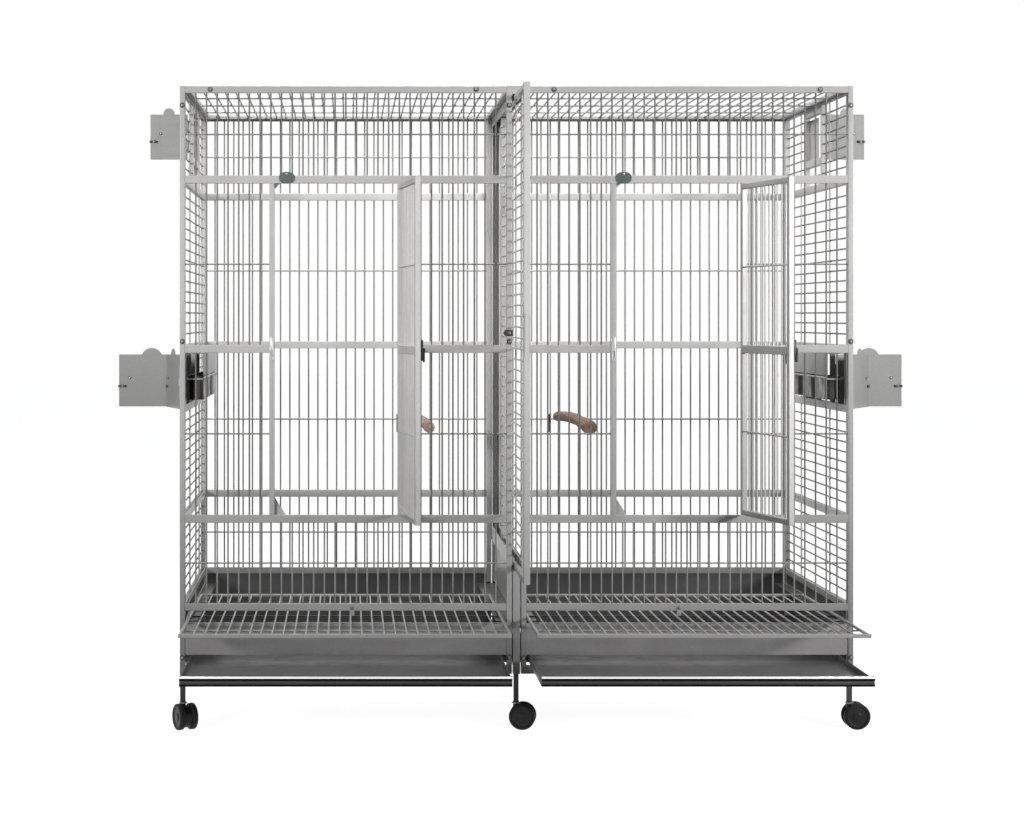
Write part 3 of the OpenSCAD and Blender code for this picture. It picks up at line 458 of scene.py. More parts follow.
MATERIALS = {
    "frame_paint": finish_material(
        "frame_paint", "powder",
        {"Paint": (0.44, 0.436, 0.432, 1), "Cloudiness": 0.07, "Sheen Roughness": 0.28, "Rubbed": 0.16,
         # the four wire values set the painted shade on the thin wires
         "Front Wires": 0.66, "Rear Wires": 0.55, "Side Wires": 0.88, "Roof Wires": 0.35,
         # painted shade on the legs and in the tray slots, and a painted highlight on the front faces that
         # stand out
         "Leg Painted Shade": 0.8, "Slot Painted Shade": 0.82, "Front Painted Highlight": 0.7},
        bump=0.25),
    "sheet_paint": finish_material(
        "sheet_paint", "powder",
        {"Paint": (0.5, 0.49, 0.49, 1), "Cloudiness": 0.12, "Sheen Roughness": 0.42, "Rubbed": 0.2,
         # painted shade inside the cage
         "Inner Painted Shade": 0.84},
        bump=0.2),
    "tray_paint": finish_material(
        "tray_paint", "powder",
        {"Paint": (0.17, 0.165, 0.165, 1), "Cloudiness": 0.16, "Sheen Roughness": 0.3, "Rubbed": 0.2,
         # painted shade on the tray behind the front plane
         "Inner Painted Shade": 0.6},
        bump=0.2, after=tray_lip_painted_light),
    "plate_paint": finish_material(
        "plate_paint", "powder",
        {"Paint": (0.315, 0.312, 0.31, 1), "Cloudiness": 0.05, "Sheen Roughness": 0.34, "Rubbed": 0.12},
        bump=0.2),
    "badge_paint": finish_material(
        "badge_paint", "powder",
        {"Paint": (0.07, 0.095, 0.088, 1), "Cloudiness": 0.35, "Grain Scale": 420.0,
         "Sheen Roughness": 0.3, "Rubbed": 0.3}, bump=0.6, coat=0.3),
    "chrome": finish_material(
        "chrome", "metal",
        {"Metal": (0.46, 0.46, 0.45, 1), "Line Scale": 300.0, "Polish": 0.14, "Stain": 0.45},
        bump=0.04, metallic=1.0),
    "screw_steel": finish_material(
        "screw_steel", "metal",
        {"Metal": (0.2, 0.195, 0.19, 1), "Line Scale": 500.0, "Polish": 0.2, "Stain": 0.3},
        bump=0.08, metallic=1.0),
    "washer_steel": finish_material(
        "washer_steel", "metal",
        {"Metal": (0.06, 0.058, 0.055, 1), "Line Scale": 500.0, "Polish": 0.38, "Stain": 0.25},
        bump=0.1, metallic=1.0),
    "lock_metal": finish_material(
        "lock_metal", "metal",
        {"Metal": (0.02, 0.021, 0.021, 1), "Line Scale": 600.0, "Polish": 0.3, "Stain": 0.2},
        bump=0.08, metallic=0.3),
    "dark_steel": finish_material(
        "dark_steel", "metal",
        {"Metal": (0.05, 0.05, 0.048, 1), "Line Scale": 400.0, "Polish": 0.36, "Stain": 0.2},
        bump=0.1, metallic=0.9),
    "bowl_steel": finish_material(
        "bowl_steel", "metal",
        {"Metal": (0.08, 0.078, 0.075, 1), "Line Scale": 700.0, "Polish": 0.24, "Stain": 0.3},
        bump=0.06, metallic=1.0),
    "black_plastic": finish_material(
        "black_plastic", "plastic",
        {"Plastic": (0.012, 0.012, 0.012, 1), "Dust": 0.05, "Matt": 0.42}, bump=0.15),
    "wheel_plastic": finish_material(
        "wheel_plastic", "plastic",
        {"Plastic": (0.014, 0.014, 0.014, 1), "Dust": 0.12, "Matt": 0.36}, bump=0.12),
    "tyre_rubber": finish_material(
        "tyre_rubber", "plastic",
        {"Plastic": (0.018, 0.018, 0.018, 1), "Dust": 0.25, "Matt": 0.62}, bump=0.3),
    "branch_wood": finish_material(
        "branch_wood", "branch",
        {"Wood": (0.36, 0.225, 0.175, 1), "Dark Fibre": (0.09, 0.05, 0.038, 1),
         "Patch": (0.4, 0.36, 0.29, 1)},
        bump=0.6, reach=0.0015),
}


# Mesh helpers

def to_object(name, bm, *finishes):
    bmesh.ops.remove_doubles(bm, verts=bm.verts, dist=1e-6)
    bmesh.ops.recalc_face_normals(bm, faces=bm.faces)
    mesh = bpy.data.meshes.new(name)
    bm.to_mesh(mesh)
    bm.free()
    obj = bpy.data.objects.new(name, mesh)
    bpy.context.scene.collection.objects.link(obj)
    for finish in finishes:
        mesh.materials.append(MATERIALS[finish])
    return obj


def smooth_by_angle(obj, degrees=32):
    mesh = obj.data
    bm = bmesh.new()
    bm.from_mesh(mesh)
    limit = math.radians(degrees)
    for face in bm.faces:
        face.smooth = True
    for edge in bm.edges:
        edge.smooth = len(edge.link_faces) == 2 and edge.calc_face_angle(0) < limit
    bm.to_mesh(mesh)
    bm.free()
    return obj


def skin(bm, low, high, count, material=0):
    """Faces between two rings; a ring of one point closes the end."""
    for k in range(count):
        n = (k + 1) % count
        corners = (low[k % len(low)], low[n % len(low)], high[n % len(high)], high[k % len(high)])
        unique = list(dict.fromkeys(corners))
        if len(unique) > 2:
            bm.faces.new(unique).material_index = material


def circle(count):
    return [2 * math.pi * k / count for k in range(count)]


def lathe(bm, profile, segments, place=Matrix.Identity(4), material=0):
    """Turns (radius, height) points in millimetres round local Z; a radius of 0 closes the end."""
    rings = []
    for radius, height in profile:
        angles = circle(segments) if radius else [0.0]
        rings.append([
            bm.verts.new(place @ (Vector((radius * math.cos(a), radius * math.sin(a), height)) * MM))
            for a in angles])
    for low, high in zip(rings, rings[1:]):
        skin(bm, low, high, segments, material)


def facing_front(x, y, z):
    """Local Z points out of the cage front, towards the camera side."""
    return Matrix.Translation(at(x, y, z)) @ Matrix.Rotation(math.pi / 2, 4, "X")


def baked(name, obj):
    """The evaluated mesh as a plain object at the origin."""
    graph = bpy.context.evaluated_depsgraph_get()
    mesh = bpy.data.meshes.new_from_object(obj.evaluated_get(graph), preserve_all_data_layers=True,
                                           depsgraph=graph)
    mesh.name = name
    result = bpy.data.objects.new(name, mesh)
    bpy.context.scene.collection.objects.link(result)
    bpy.data.objects.remove(obj)
    return result


def given(obj, body, slot, *replaced):
    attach(obj, body)
    if replaced:
        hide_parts(*replaced)
    return obj


# Geometry Nodes: repeated fasteners and the small weld spots where wires cross

def geometry_tree(name, inputs):
    tree = bpy.data.node_groups.new(name, "GeometryNodeTree")
    tree.interface.new_socket(name="Geometry", in_out="INPUT", socket_type="NodeSocketGeometry")
    for label, kind, value in inputs:
        socket = tree.interface.new_socket(name=label, in_out="INPUT", socket_type=kind)
        if value is not None:
            socket.default_value = value
    tree.interface.new_socket(name="Geometry", in_out="OUTPUT", socket_type="NodeSocketGeometry")
    return tree, tree.nodes.new("NodeGroupInput"), tree.nodes.new("NodeGroupOutput")


def random_value(tree, low, high, seed):
    node = put(tree, "FunctionNodeRandomValue", data_type="FLOAT")
    join(tree, low, node.inputs[2])
    join(tree, high, node.inputs[3])
    join(tree, seed, node.inputs["Seed"])
    return node.outputs[1]


def set_on_points(tree, points, shape, change, value):
    """A shape on every point, changed in rotation or scale by a value, and made real."""
    spread = put(tree, "GeometryNodeInstanceOnPoints")
    join(tree, points, spread.inputs["Points"])
    join(tree, shape, spread.inputs["Instance"])
    join(tree, value, spread.inputs[change])
    real = put(tree, "GeometryNodeRealizeInstances")
    join(tree, spread.outputs["Instances"], real.inputs["Geometry"])
    return real.outputs["Geometry"]


def finished(tree, shape, material):
    coat = put(tree, "GeometryNodeSetMaterial")
    join(tree, shape, coat.inputs["Geometry"])
    join(tree, material, coat.inputs["Material"])
    return coat


def fastener_tree():
    tree, gin, gout = geometry_tree("place_fasteners", [
        ("Fastener", "NodeSocketObject", None), ("Turn Range", FLOAT, math.pi), ("Seed", "NodeSocketInt", 7),
        ("Head Finish", "NodeSocketMaterial", None), ("Washer Finish", "NodeSocketMaterial", None)])
    info = put(tree, "GeometryNodeObjectInfo")
    join(tree, gin.outputs["Fastener"], info.inputs["Object"])
    back = math_node(tree, "MULTIPLY", gin.outputs["Turn Range"], -1.0)
    turn = put(tree, "ShaderNodeCombineXYZ")
    join(tree, random_value(tree, back, gin.outputs["Turn Range"], gin.outputs["Seed"]), turn.inputs["Y"])
    shape = set_on_points(tree, gin.outputs["Geometry"], info.outputs["Geometry"], "Rotation",
                          turn.outputs["Vector"])
    for number, finish in enumerate(("Head Finish", "Washer Finish")):
        same = put(tree, "FunctionNodeCompare", data_type="INT", operation="EQUAL")
        join(tree, put(tree, "GeometryNodeInputMaterialIndex").outputs[0], same.inputs[2])
        same.inputs[3].default_value = number
        coat = finished(tree, shape, gin.outputs[finish])
        join(tree, same.outputs["Result"], coat.inputs["Selection"])
        shape = coat.outputs["Geometry"]
    join(tree, shape, gout.inputs["Geometry"])
    return tree


def weld_tree():
    tree, gin, gout = geometry_tree("weld_spots", [
        ("Spot Radius", FLOAT, 0.003), ("Unevenness", FLOAT, 0.25), ("Seed", "NodeSocketInt", 3),
        ("Material", "NodeSocketMaterial", None)])
    ball = put(tree, "GeometryNodeMeshIcoSphere")
    ball.inputs["Subdivisions"].default_value = 2
    join(tree, gin.outputs["Spot Radius"], ball.inputs["Radius"])
    smooth = put(tree, "GeometryNodeSetShadeSmooth")
    join(tree, ball.outputs["Mesh"], smooth.inputs["Geometry"])
    low = math_node(tree, "SUBTRACT", 1.0, gin.outputs["Unevenness"])
    high = math_node(tree, "ADD", 1.0, gin.outputs["Unevenness"])
    shape = set_on_points(tree, gin.outputs["Geometry"], smooth.outputs["Geometry"], "Scale",
                          random_value(tree, low, high, gin.outputs["Seed"]))
    coat = finished(tree, shape, gin.outputs["Material"])
    join(tree, coat.outputs["Geometry"], gout.inputs["Geometry"])
    return tree


FASTENERS = fastener_tree()
WELDS = weld_tree()


def socket_id(tree, name):
    for item in tree.interface.items_tree:
        if item.name == name and getattr(item, "in_out", "") == "INPUT":
            return item.identifier
    raise KeyError(name)


def grown(name, tree, points, settings):
    """Runs a tree on a cloud of points and keeps the result as a plain mesh."""
    mesh = bpy.data.meshes.new(name + "_points")
    mesh.from_pydata([tuple(p) for p in points], [], [])
    cloud = bpy.data.objects.new(name + "_points", mesh)
    bpy.context.scene.collection.objects.link(cloud)
    modifier = cloud.modifiers.new("grow", "NODES")
    modifier.node_group = tree
    for key, value in settings.items():
        modifier[socket_id(tree, key)] = value
    return baked(name, cloud)


# CAD nodes keep their shape: merged for shading, edges broken on small metalwork

MERGE_REACH = 0.000004


def shading_tree():
    tree, gin, gout = geometry_tree("merged_shading", [("Sharp Angle", FLOAT, 0.6)])
    merge = put(tree, "GeometryNodeMergeByDistance")
    merge.inputs["Distance"].default_value = MERGE_REACH
    join(tree, gin.outputs["Geometry"], merge.inputs["Geometry"])
    all_smooth = put(tree, "GeometryNodeSetShadeSmooth", domain="FACE")
    join(tree, merge.outputs["Geometry"], all_smooth.inputs["Geometry"])
    angle = put(tree, "GeometryNodeInputMeshEdgeAngle")
    compare = put(tree, "FunctionNodeCompare", data_type="FLOAT", operation="GREATER_THAN")
    join(tree, angle.outputs["Unsigned Angle"], compare.inputs[0])
    join(tree, gin.outputs["Sharp Angle"], compare.inputs[1])
    sharp = put(tree, "GeometryNodeSetShadeSmooth", domain="EDGE")
    sharp.inputs["Shade Smooth"].default_value = False
    join(tree, all_smooth.outputs["Geometry"], sharp.inputs["Geometry"])
    join(tree, compare.outputs["Result"], sharp.inputs["Selection"])
    join(tree, sharp.outputs["Geometry"], gout.inputs["Geometry"])
    return tree


def break_edges(obj, width):
    """Welds the loose triangles, clears flat faces of needless edges and rounds the sharp ones."""
    weld = obj.modifiers.new("merge", "WELD")
    weld.merge_threshold = MERGE_REACH
    flat = obj.modifiers.new("flat_faces", "DECIMATE")
    flat.decimate_type = "DISSOLVE"
    flat.angle_limit = math.radians(0.5)
    bevel = obj.modifiers.new("soft_edges", "BEVEL")
    bevel.width = width
    bevel.segments = 2
    bevel.limit_method = "ANGLE"
    bevel.angle_limit = math.radians(40)
    bevel.harden_normals = False


SHADING = shading_tree()
BROKEN_EDGES = {"lock": 0.0008, "lever": 0.0008, "stop": 0.0008, "clip": 0.0005, "tray": 0.0006,
                "plates": 0.0005, "bowls": 0.0004, "mounts": 0.0005, "latch": 0.0004, "hood": 0.0005}
for name, obj in nodes.items():
    obj.data.materials.clear()
    obj.data.materials.append(MATERIALS["plate_paint" if name == "feeder_hoods" else slot_of[name]])
    width = next((w for word, w in BROKEN_EDGES.items() if word in name), 0)
    if width and not name.endswith("_hinges"):
        break_edges(obj, width)
    shade = obj.modifiers.new("shading", "NODES")
    shade.node_group = SHADING


# Screws and washers

HEAD_DOME = ((5.0, 0.0), (5.0, 0.7), (4.75, 1.5), (4.2, 2.2), (3.3, 2.75), (2.4, 3.0))
HEAD_H = 3.0
RECESS_HALF = 1.7         # from the middle of the six-sided recess to its corners
RECESS_DEPTH = 1.7


def screw_template(name, with_washer, head_out):
    """Washer flat on the plane, a domed head with a hexagonal recess, local -Y outwards."""
    bm = bmesh.new()
    out = Matrix.Rotation(math.pi / 2, 4, "X")
    if with_washer:
        lathe(bm, [(8.0, 0), (8.0, 1.1), (7.6, 1.5), (4.4, 1.5)], 32, out, 1)
    lathe(bm, [(r, head_out + h) for r, h in HEAD_DOME], 24, out)
    top = head_out + HEAD_H
    rim = [v for v in bm.verts if abs(-v.co.y - top * MM) < 1e-7]
    rim.sort(key=lambda v: math.atan2(v.co.z, v.co.x))
    rings = [rim]
    for y in (top, top - RECESS_DEPTH):
        ring = []
        for v in rim:
            a = math.atan2(v.co.z, v.co.x)
            r = RECESS_HALF * math.cos(math.pi / 6) / math.cos((a % (math.pi / 3)) - math.pi / 6)
            ring.append(bm.verts.new(Vector((r * math.cos(a), -y, r * math.sin(a))) * MM))
        rings.append(ring)
    for low, high in zip(rings, rings[1:]):
        skin(bm, low, high, len(rim))
    bm.faces.new(rings[-1])
    return smooth_by_angle(to_object(name, bm, "screw_steel", "washer_steel"), 35)


def fasteners(name, points, seed, with_washer, head_out):
    template = screw_template(name + "_template", with_washer, head_out)
    placed = grown(name, FASTENERS, points, {
        "Fastener": template, "Seed": seed, "Head Finish": MATERIALS["screw_steel"],
        "Washer Finish": MATERIALS["washer_steel"]})
    bpy.data.objects.remove(template)
    return placed


face_points = [at(x, 0, z) for x in (-OUTER, OUTER) for z in STILE_SCREW_ZS]
face_points += [at(-POST_X, 0, z) for z in POST_SCREW_ZS]
face_points += [at(POST_X, 0, POST_SCREW_ZS[0] - 2)]
face_points += [at(x, 0, TOP_SCREW_Z) for x in TOP_SCREW_XS]
given(fasteners("frame_screws", face_points, 11, True, 1.5), "cage", "screw_steel", "panel_screws")

# Shoulder screws of the divider stop and the two grate clips: x, z and how far they stand out
SHOULDERS = ((-POST_X, STOP_Z, 5.6), (CLIP_XS[0], CLIP_Z, 2.6), (CLIP_XS[1], CLIP_Z, 2.6))
shoulder_points = [at(x, -out, z) for x, z, out in SHOULDERS]
given(fasteners("shoulder_screw_heads", shoulder_points, 5, False, 0.0), "cage", "screw_steel")
bm = bmesh.new()
for x, z, out in SHOULDERS:
    lathe(bm, [(0, 0), (2.5, 0), (2.5, out), (0, out)], 20, facing_front(x, 0, z))
given(smooth_by_angle(to_object("shoulder_screw_shanks", bm, "screw_steel")), "cage", "screw_steel")


# Bare oval badges: a raised rim round a gently domed field

BADGE_RX = 24.5
BADGE_RZ = 18.0
BADGE_STEPS = 56
# Share of the oval's size, and how far that ring stands out of the front
BADGE_RINGS = ((1.0, 0.3), (1.0, 2.4), (0.985, 2.9), (0.95, 3.25), (0.9, 3.3), (0.865, 3.15),
               (0.85, 2.6), (0.6, 2.8), (0.3, 2.92))
BADGE_MIDDLE = 2.96


def rounded(value):
    """A cosine or sine that makes an oval a little squarer."""
    return math.copysign(abs(value) ** 0.9, value)


def badge(bm, x, z):
    rings = []
    for size, out in BADGE_RINGS:
        inset = BADGE_RX * (1 - size)
        rx = max(BADGE_RX - inset, BADGE_RX * size)
        rz = max(BADGE_RZ - inset, BADGE_RZ * size)
        rings.append([bm.verts.new(at(x + rx * rounded(math.cos(a)), -out, z + rz * rounded(math.sin(a))))
                      for a in circle(BADGE_STEPS)])
    rings.append([bm.verts.new(at(x, -BADGE_MIDDLE, z))])
    for low, high in zip(rings, rings[1:]):
        skin(bm, low, high, BADGE_STEPS)


bm = bmesh.new()
for x in BADGE_XS:
    badge(bm, x, BADGE_Z)
badges = smooth_by_angle(to_object("oval_badges", bm, "badge_paint"), 50)
given(badges, "cage", "badge_paint", "badge_plates")
bm = bmesh.new()
for x in BADGE_XS:
    lathe(bm, [(3.0, 2.8), (3.0, 4.2), (2.5, 5.0), (1.4, 5.3), (0, 5.35)], 20,
          facing_front(x, 0, BADGE_Z + 12))
given(smooth_by_angle(to_object("badge_bolts", bm, "chrome")), "cage", "chrome")


# Natural perches: a peeled branch along the same arc as the solid one

PITCH = (PANEL_W - 2 * TUBE) / 30
# Middle in x, radius at the rear and at the free end, and the seed of the bumps
PERCHES = ((-HALF_W + TUBE + 21.5 * PITCH, 15.0, 17.5, 2.3),
           (GAP_HALF + TUBE + 5.75 * PITCH, 15.5, 24.0, 1.0))
PERCH_Z = 902
PERCH_Y = 997.5
PERCH_RUN = 478           # forward
PERCH_SIDE = 61           # to the right
PERCH_RISE = 12           # of the arc over its chord
PERCH_DROP = 16


def perch_point(t, x):
    """Centre of the branch, t from 0 at the rear wires to 1 at its free end."""
    chord = math.hypot(PERCH_RUN, PERCH_SIDE)
    bend = ((chord / 2) ** 2 + PERCH_RISE ** 2) / (2 * PERCH_RISE)
    phi = math.asin(chord / 2 / bend) * (1 - 2 * t)
    turn = Matrix.Rotation(math.atan2(PERCH_SIDE, PERCH_RUN), 3, "Z")
    tilt = Matrix.Rotation(math.asin(PERCH_DROP / chord), 3, "X")
    arc = Vector((0, -chord / 2 + bend * math.sin(phi), PERCH_RISE - bend + bend * math.cos(phi)))
    return at(x, PERCH_Y, PERCH_Z) + turn @ tilt @ arc * MM


def branch(bm, x, thin, thick, seed):
    rounds = 44
    steps = 110
    offset = Vector((seed * 3.1, seed * 1.7, 0))
    rings = []
    for i in range(steps + 1):
        t = 0.006 + 0.988 * i / steps
        centre = perch_point(t, x)
        ahead = (perch_point(t + 0.004, x) - perch_point(t - 0.004, x)).normalized()
        across = ahead.cross(Vector((0, 0, 1))).normalized()
        up = across.cross(ahead)
        swell = 1 + 0.05 * math.sin(5.1 * t + seed) + 0.03 * math.sin(13 * t + 2 * seed)
        radius = (thin + (thick - thin) * t ** 1.6) * MM * swell
        ring = []
        for a in circle(rounds):
            direction = across * math.cos(a) + up * math.sin(a)
            place = Vector((math.cos(a) * 1.4, math.sin(a) * 1.4, t * 9)) + offset
            bump = 0.075 * noise.noise(place) + 0.03 * noise.noise(place * 3.3)
            ring.append(bm.verts.new(centre + direction * radius * (1 + bump)))
        rings.append((ring, centre, ahead))
    for (low, _, _), (high, _, _) in zip(rings, rings[1:]):
        skin(bm, low, high, rounds)
    for ring, centre, ahead, sign in ((*rings[0], -1), (*rings[-1], 1)):
        previous = ring
        for size, out in ((0.93, 1.2), (0.84, 1.9), (0.5, 2.1)):
            inner = [bm.verts.new(centre + (v.co - centre) * size + ahead * sign * out * MM) for v in ring]
            skin(bm, previous, inner, rounds)
            previous = inner
        bm.faces.new(previous)


bm = bmesh.new()
for perch in PERCHES:
    branch(bm, *perch)
perches = smooth_by_angle(to_object("branch_perches", bm, "branch_wood"), 50)
given(perches, "cage", "branch_wood", "perches")


# Twin castor wheels: crowned tyre, dished face, ring and hub cap; steel swivel collar

CASTOR_IN = 24            # from the front and the rear
# How far each castor is turned, from left to right
CASTOR_ROWS = (("front", CASTOR_IN, (-65, -10, 0)), ("rear", CAGE_D - CASTOR_IN, (-86, -95, -90)))
CASTORS = [(row + "_" + place, x, y, angle) for row, y, angles in CASTOR_ROWS
           for place, x, angle in zip(("left", "centre", "right"), (-OUTER, 0, OUTER), angles)]
WHEEL_R = 39.5
WHEEL_W = 17
TRAIL = 20                # from the swivel to the axle
FORK_W = 22


def wheel_half(bm, place):
    inner = FORK_W / 2 + 0.5
    outer = inner + WHEEL_W
    tyre = [(30, inner), (WHEEL_R - 3, inner), (WHEEL_R - 1, inner + 0.8), (WHEEL_R, inner + 3),
            (WHEEL_R, outer - 4), (WHEEL_R - 0.8, outer - 1.6), (WHEEL_R - 2.6, outer - 0.4),
            (WHEEL_R - 5, outer), (31.5, outer)]
    face = [(31.5, outer), (30.6, outer - 1.4), (29.6, outer - 2.2), (24, outer - 2.6), (16, outer - 2.2),
            (12.5, outer - 1.6), (12, outer - 0.7), (11, outer - 0.3), (5, outer - 0.1), (0, outer)]
    lathe(bm, tyre, 64, place, 1)
    lathe(bm, face, 64, place)
    lathe(bm, [(0, inner), (30, inner)], 64, place)


for label, x, y, angle in CASTORS:
    spin = Matrix.Translation(at(x, y, 0)) @ Matrix.Rotation(math.radians(angle), 4, "Z")
    axle = spin @ Matrix.Translation(Vector((TRAIL * MM, 0, WHEEL_R * MM)))
    bm = bmesh.new()
    for sign in (-1, 1):
        wheel_half(bm, axle @ Matrix.Rotation(sign * math.pi / 2, 4, "X"))
    reach = FORK_W / 2 + 1
    lathe(bm, [(4, -reach), (4, reach)], 24, axle @ Matrix.Rotation(math.pi / 2, 4, "X"))
    wheels = smooth_by_angle(to_object(label + "_twin_wheels", bm, "wheel_plastic", "tyre_rubber"), 35)
    given(wheels, nodes[label + "_castor_wheels"]["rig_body"], "wheel_plastic", label + "_castor_wheels")
    bm = bmesh.new()
    lathe(bm, [(5.2, 77), (12.5, 77), (13, 77.6), (13, 79.4), (12.4, 80), (7.5, 80.4), (7.2, 83.6),
               (5.2, 83.6), (5.2, 77)], 40, spin)
    given(smooth_by_angle(to_object(label + "_swivel_collar", bm, "chrome")),
          nodes[label + "_castor_fork"]["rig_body"], "chrome")


# Second rivet of each feeder door: a dark washer under a bright domed head

# Each level's name, the place of its hinge and how far the left and the right door are turned
FEEDER_LEVELS = (("front", 50, 16, 28), ("middle", 262, 90, 90), ("rear", 474, 0, 0), ("upper", 397, 90, 90))
FEEDERS = [("left", level, y, left) for level, y, left, _ in FEEDER_LEVELS]
FEEDERS += [("right", level, y, right) for level, y, _, right in FEEDER_LEVELS]
HINGE_OUT = 4             # the hinge pins stand out of the side panels
PLATE_FACE = 0.2          # a door's outer face, from its hinge axis
LOWER_DOOR = (205, 1029)  # length, and height of the middle
UPPER_DOOR = (118.5, 1804)
RIVET_BACK = 33           # from the free edge
RIVET_UP = 26             # above the middle
for side, level, y, angle in FEEDERS:
    length, middle = UPPER_DOOR if level == "upper" else LOWER_DOOR
    hinge = Matrix.Translation(at(HALF_W + HINGE_OUT, y, 0)) @ Matrix.Rotation(-math.radians(angle), 4, "Z")
    spot = Matrix.Translation(Vector((PLATE_FACE, length - RIVET_BACK, middle + RIVET_UP)) * MM)
    place = hinge @ spot @ Matrix.Rotation(math.pi / 2, 4, "Y")
    if side == "left":
        place = Matrix.Diagonal((-1, 1, 1, 1)) @ place
    bm = bmesh.new()
    lathe(bm, [(0, 0), (4.4, 0), (4.4, 0.5), (4.0, 0.8), (2.5, 0.8)], 24, place, 1)
    lathe(bm, [(2.5, 0.8), (2.5, 1.3), (2.0, 1.9), (1.0, 2.3), (0, 2.4)], 24, place)
    rivet = smooth_by_angle(to_object(side + "_" + level + "_feeder_rivet", bm, "chrome", "dark_steel"))
    given(rivet, nodes[side + "_" + level + "_feeder_door"]["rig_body"], "chrome")


# Weld spots where wires cross, one mesh for each body

SIDE_BAYS = ((380, 624, 7), (648, 956, 9), (1161, 1648, 14))
FEEDER_BAY = (980, 1137, 4)
UPPER_SIDE_BAY = (1672, 1921, 7)
DIVIDER_FRONT = -400
DIVIDER_L = 990
DIVIDER_ZS = (484, 1914)
GRATE_FRONT = -389
GRATE_L = 960
GRATE_HALF = 475
GRATE_BAR = 8
GRATE_TOP_Z = 333
GRATE_XS = (("left_grate", -517), ("right_grate", 506))
HINGE_X = 674.5           # a door's hinge, from its panel's left edge
HINGE_Y = -4
DOOR_WIRE_Y = 12.5        # a door's wires, from its hinge
DOOR_X = -385.5           # a door's free edge, from its hinge
DOOR_W = 374
DOOR_BAYS = ((667, 1137), (1161, 1629))
DOOR_HINGES = (("left_door", -HALF_W, 96.6), ("right_door", GAP_HALF, 101.7))


def spaced(low, high, count):
    """Places that divide a length evenly, without its ends."""
    return [low + i * (high - low) / (count + 1) for i in range(1, count + 1)]


def panel_crossings(x0):
    """A front panel, its doorway left free, and the rear panel behind it."""
    wires = spaced(TUBE, PANEL_W - TUBE, 29)
    free = [w for w in wires if not DOORWAY[0] - WIRE / 2 < w < DOORWAY[1] + WIRE / 2]
    spots = []
    for bay in BAYS:
        middle = sum(bay) / 2
        spots += [at(x0 + w, WIRE_IN, middle) for w in (free if bay in DOORWAY_BAYS else wires)]
        spots += [at(x0 + w, CAGE_D - WIRE_IN, middle) for w in wires]
    return spots


def side_crossings(side):
    x = side * (HALF_W - WIRE_IN)
    spots = [at(x, y, z) for bay in SIDE_BAYS for z in spaced(*bay) for y in CROSS_YS]
    spots += [at(x, CROSS_YS[1], z) for z in spaced(*FEEDER_BAY)]
    return spots + [at(x, y, z) for z in spaced(*UPPER_SIDE_BAY) for y in CROSS_YS]


def roof_crossings(x0):
    roof_w = HALF_W - TUBE - GAP_HALF
    return [at(x0 + w, y, TOP_SCREW_Z)
            for w in spaced(TUBE, roof_w - TUBE, 28) for y in spaced(TUBE, CAGE_D - TUBE, 3)]


def divider_crossings():
    return [at(WIRE / 2, y, z)
            for z in spaced(DIVIDER_ZS[0] + TUBE, DIVIDER_ZS[1] - TUBE, 42)
            for y in spaced(DIVIDER_FRONT, DIVIDER_FRONT + DIVIDER_L, 3)]


def grate_crossings(x):
    reach = GRATE_HALF - GRATE_BAR
    return [at(w, y, GRATE_TOP_Z)
            for w in spaced(x - reach, x + reach, 28)
            for y in spaced(GRATE_FRONT, GRATE_FRONT + GRATE_L, 5)]


def door_crossings(x0, angle):
    hinge = Matrix.Translation(at(x0 + HINGE_X, HINGE_Y, 0))
    swing = hinge @ Matrix.Rotation(math.radians(angle), 4, "Z")
    return [swing @ (Vector((w, DOOR_WIRE_Y, (low + high) / 2)) * MM)
            for low, high in DOOR_BAYS for w in spaced(DOOR_X + TUBE, DOOR_X + DOOR_W - TUBE, 10)]


crossings = {"cage": panel_crossings(-HALF_W) + panel_crossings(GAP_HALF) + side_crossings(-1)
             + side_crossings(1) + roof_crossings(-HALF_W + TUBE) + roof_crossings(GAP_HALF)}
for body, x0, angle in DOOR_HINGES:
    crossings[body] = door_crossings(x0, angle)
crossings["divider"] = divider_crossings()
for body, x in GRATE_XS:
    crossings[body] = grate_crossings(x)
for body, points in crossings.items():
    welds = grown(body + "_weld_spots", WELDS, points,
                  {"Spot Radius": 0.0031, "Seed": len(points), "Material": MATERIALS["frame_paint"]})
    given(welds, body, "frame_paint")


# Floor, world and lamps

def shown_white(tree, hidden, shown, end):
    """One shader for the camera, mirrors and glass, where the backdrop shows white, another for the rest."""
    path = put(tree, "ShaderNodeLightPath")
    seen = math_node(tree, "MAXIMUM", path.outputs["Is Camera Ray"], path.outputs["Is Glossy Ray"])
    seen = math_node(tree, "MAXIMUM", seen, path.outputs["Is Transmission Ray"])
    choose = put(tree, "ShaderNodeMixShader")
    join(tree, seen, choose.inputs[0])
    join(tree, hidden.outputs[0], choose.inputs[1])
    join(tree, shown.outputs[0], choose.inputs[2])
    join(tree, choose.outputs[0], put(tree, end).inputs["Surface"])


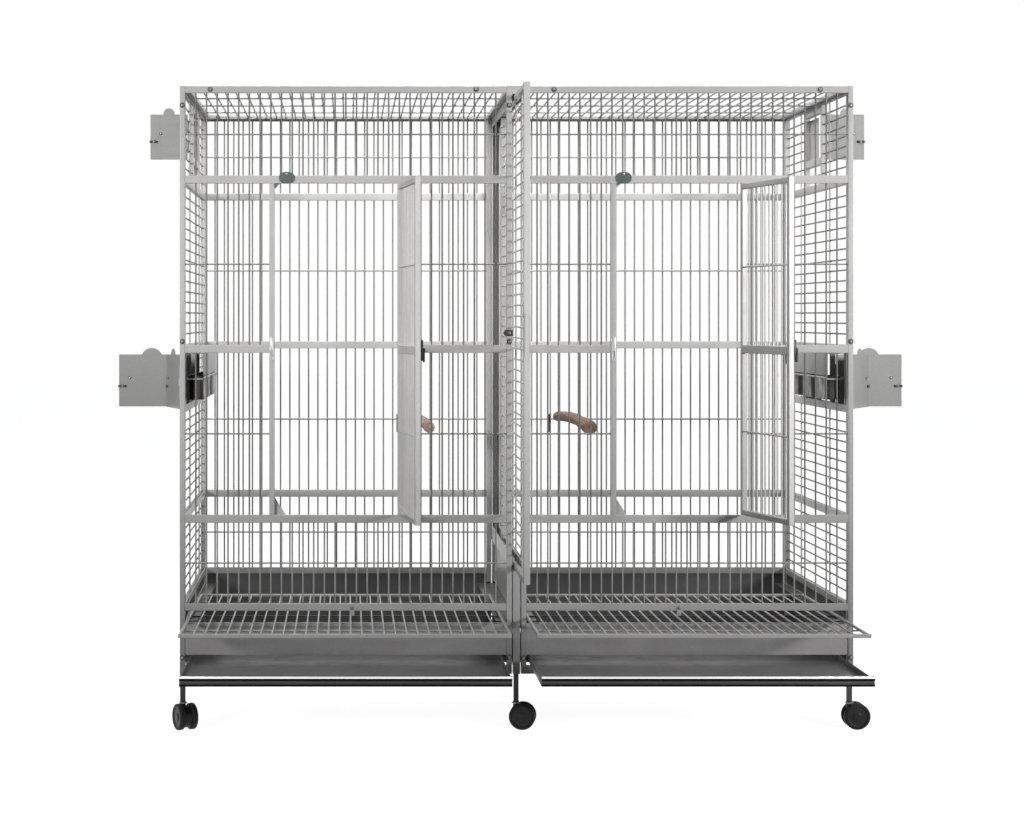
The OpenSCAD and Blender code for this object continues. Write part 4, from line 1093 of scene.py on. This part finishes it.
world = bpy.data.worlds.new("studio")
bpy.context.scene.world = world
world.use_nodes = True
tree = world.node_tree
tree.nodes.clear()
ambient = put(tree, "ShaderNodeBackground", Color=(0.95, 0.97, 1.0, 1), Strength=0.07)
white = put(tree, "ShaderNodeBackground", Color=(1, 1, 1, 1), Strength=1.0)
shown_white(tree, ambient, white, "ShaderNodeOutputWorld")

FLOOR_HALF = 40
bm = bmesh.new()
bm.faces.new([bm.verts.new((x * FLOOR_HALF, y * FLOOR_HALF, 0))
              for x, y in ((-1, -1), (1, -1), (1, 1), (-1, 1))])
mesh = bpy.data.meshes.new("studio_floor")
bm.to_mesh(mesh)
bm.free()
floor = bpy.data.objects.new("studio_floor", mesh)
bpy.context.scene.collection.objects.link(floor)
floor_paint = bpy.data.materials.new("studio_floor")
floor_paint.use_nodes = True
tree = floor_paint.node_tree
tree.nodes.clear()
dull = put(tree, "ShaderNodeBsdfDiffuse", Color=(0.03, 0.03, 0.03, 1))
bright = put(tree, "ShaderNodeBsdfDiffuse", Color=(0.6, 0.6, 0.6, 1))
glow = put(tree, "ShaderNodeEmission", Color=(1, 1, 1, 1), Strength=0.955)
both = put(tree, "ShaderNodeAddShader")
join(tree, bright.outputs[0], both.inputs[0])
join(tree, glow.outputs[0], both.inputs[1])
shown_white(tree, dull, both, "ShaderNodeOutputMaterial")
mesh.materials.append(floor_paint)


def softbox(name, place, target, size, power, spread=180):
    lamp = bpy.data.lights.new(name, "AREA")
    lamp.shape = "RECTANGLE"
    lamp.size, lamp.size_y = size
    lamp.energy = power
    lamp.spread = math.radians(spread)
    obj = bpy.data.objects.new(name, lamp)
    obj.location = place
    obj.rotation_euler = (Vector(target) - Vector(place)).to_track_quat("-Z", "Y").to_euler()
    bpy.context.scene.collection.objects.link(obj)


softbox("left_softbox", (-3.7, -5.6, 2.1), (-0.98, -0.28, 1.5), (0.9, 0.9), 11.0, 30)
softbox("right_softbox", (4.3, -5.6, 2.1), (0.95, -0.28, 1.5), (0.9, 0.9), 15.5, 31)
softbox("top_softbox", (-0.1, -0.05, 3.3), (0, 0.3, 1.0), (1.8, 0.6), 78)
